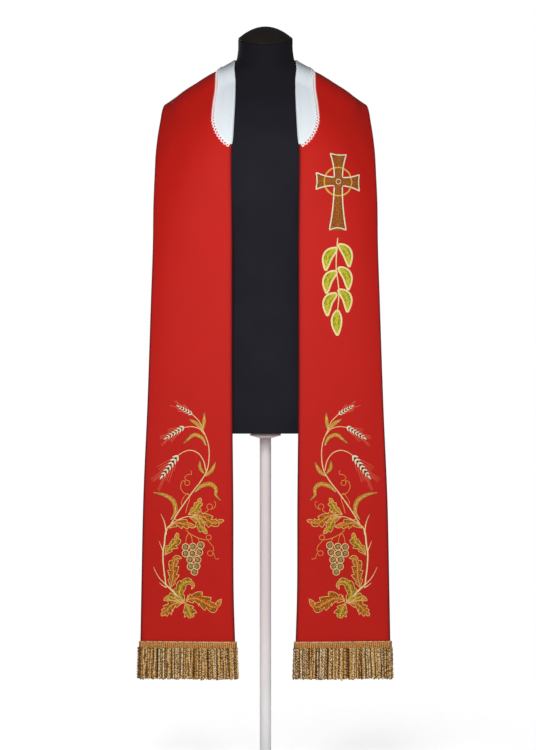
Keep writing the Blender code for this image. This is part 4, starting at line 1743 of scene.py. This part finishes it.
@dataclass
class Studio:
    """A pale floor, soft light and the camera at the photograph's place."""

    camera_x: float = 0.0057
    camera_height: float = 0.871
    camera_distance: float = 4.72
    lens: float = 102.7
    sensor: float = 36.0
    floor_radius: float = 1.15
    floor_glow: float = 0.62
    floor_fade: tuple[float, float] = (0.25, 0.95)
    floor_tones: tuple[Colour, Colour] = ((0.88, 0.88, 0.885), (0.92, 0.92, 0.92))
    light: tuple[Colour, float] = ((0.93, 0.96, 1.0), 0.11)
    backdrop: tuple[Colour, float] = ((1.0, 1.0, 1.0), 1.0)
    lamps: tuple[Lamp, ...] = (
        Lamp("key", (-0.1, -1.67, 1.32), (0, 0, 1.25), 0.7, 23.5),
        Lamp("fill", (1.9, -2.6, 1.4), (0, 0, 1.0), 1.2, 8),
        Lamp("back", (-1.3, 2.7, 1.35), (0, 0, 1.1), 1.4, 42),
    )

    def build(self) -> None:
        """Builds all of it."""
        self._floor()
        self._world()
        for lamp in self.lamps:
            self._lamp(lamp)
        scene = bpy.context.scene
        scene.view_settings.view_transform = "Standard"
        camera = bpy.data.cameras.new("camera")
        camera.lens = self.lens
        camera.sensor_width = self.sensor
        holder = bpy.data.objects.new("camera", camera)
        holder.location = (self.camera_x, -self.camera_distance, self.camera_height)
        holder.rotation_euler = (math.pi / 2, 0, 0)
        scene.collection.objects.link(holder)
        scene.camera = holder

    def _floor(self) -> None:
        """A round floor that fades out into the white around it."""
        shader = Shader("pale_floor", Specular_IOR_Level=0.2, Emission_Strength=self.floor_glow)
        shader.surface.inputs["Emission Color"].default_value = (1, 1, 1, 1)
        place, (x, y, _) = shader.coordinates("Object")
        distance = (x * x + y * y) ** 0.5
        grain = shader.noise(place, 60, 3)
        shader.dress(shader.blend(grain, *self.floor_tones), 0.6, grain, 0.1 * MM)
        fade = 1 - distance.rise(*(self.floor_radius * share for share in self.floor_fade))
        shader.feed(shader.surface.inputs["Alpha"], fade)
        bm = bmesh.new()
        bmesh.ops.create_circle(bm, cap_ends=True, segments=96, radius=self.floor_radius)
        mesh = bpy.data.meshes.new("floor")
        bm.to_mesh(mesh)
        bm.free()
        mesh.materials.append(shader.material)
        floor = bpy.data.objects.new("floor", mesh)
        bpy.context.scene.collection.objects.link(floor)

    def _world(self) -> None:
        """White behind the object, and a softer white light from all round."""
        world = bpy.data.worlds.new("studio")
        world.use_nodes = True
        tree = world.node_tree
        tree.nodes.clear()
        mix = tree.nodes.new("ShaderNodeMixShader")
        for place, (colour, strength) in enumerate((self.light, self.backdrop), start=1):
            glow = tree.nodes.new("ShaderNodeBackground")
            glow.inputs["Color"].default_value = (*colour, 1)
            glow.inputs["Strength"].default_value = strength
            tree.links.new(glow.outputs[0], mix.inputs[place])
        path = tree.nodes.new("ShaderNodeLightPath")
        output = tree.nodes.new("ShaderNodeOutputWorld")
        tree.links.new(path.outputs["Is Camera Ray"], mix.inputs[0])
        tree.links.new(mix.outputs[0], output.inputs[0])
        bpy.context.scene.world = world

    def _lamp(self, lamp: Lamp) -> None:
        """Hangs a lamp at its place, aimed at its point. The camera doesn't see it."""
        light = bpy.data.lights.new(lamp.name, "AREA")
        light.size = lamp.size
        light.energy = lamp.power
        holder = bpy.data.objects.new(lamp.name, light)
        holder.location = lamp.place
        holder.visible_camera = False
        holder.rotation_euler = (Vector(lamp.aim) - Vector(lamp.place)).to_track_quat("-Z", "Y").to_euler()
        bpy.context.scene.collection.objects.link(holder)


def form_tree() -> BVHTree:
    """The CAD form, to rest the cloth on."""
    bm = bmesh.new()
    bm.from_mesh(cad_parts["form_torso"].data)
    bmesh.ops.remove_doubles(bm, verts=bm.verts, dist=WELD)
    bmesh.ops.recalc_face_normals(bm, faces=bm.faces)
    tree = BVHTree.FromBMesh(bm)
    bm.free()
    return tree


def main() -> None:
    logging.basicConfig(level=logging.INFO, format="%(name)s: %(message)s")
    # the red cloth's edge colour is painted shade along the panels' edges
    red = WovenFinish("red_cloth", (0.600, 0.0130, 0.0070), (0.490, 0.0090, 0.0052), 0.7 * MM, 0.50, 0.02,
                      gloss=0.13, edge=(0.10, 0.003, 0.003)).make()
    white = WovenFinish("white_cloth", (0.88, 0.94, 0.98), (0.76, 0.82, 0.88),
                        0.6 * MM, 0.7, 0.1, 0.15).make()
    lace = WovenFinish("white_lace", (1.00, 1.00, 1.00), (0.94, 0.94, 0.95), 0.5 * MM, 0.6, 0.1, 0.2).make()
    # the cord's last colour is painted shade, for the twist's grooves and the middle row of strands
    gold = MetalCordFinish("gold_cord", (0.98, 0.82, 0.52), (0.52, 0.250, 0.060),
                           (0.040, 0.016, 0.004)).make()
    braid = BraidFinish("gold_braid", (0.94, 0.455, 0.12), (0.20, 0.072, 0.012)).make()
    cap = SmoothFinish("brown_black_cap", (0.022, 0.0155, 0.0125), (0.008, 0.0060, 0.005),
                       0.36, 700, 0.05 * MM, gloss=0.3).make()
    lacquer = SmoothFinish("white_lacquer", (0.90, 0.90, 0.90), (0.86, 0.86, 0.865),
                           0.3, 900, 0.02 * MM).make()

    form = DressForm()
    torso = form.build(JerseyFinish().make())
    form.build_cap(cap)
    Stand().build(lacquer)
    cloth = StoleCloth(form_tree())
    stitches = Embroidery(cloth).build()
    band = NeckBand(cloth)
    neck_band = band.build(white)
    neck_lace = band.build_lace(lace)
    for side in Side:
        panel = cloth.build(side, red)
        fringe = Fringe(cloth, side).build(gold, braid)
    Studio().build()


if __name__ == "__main__":
    main()
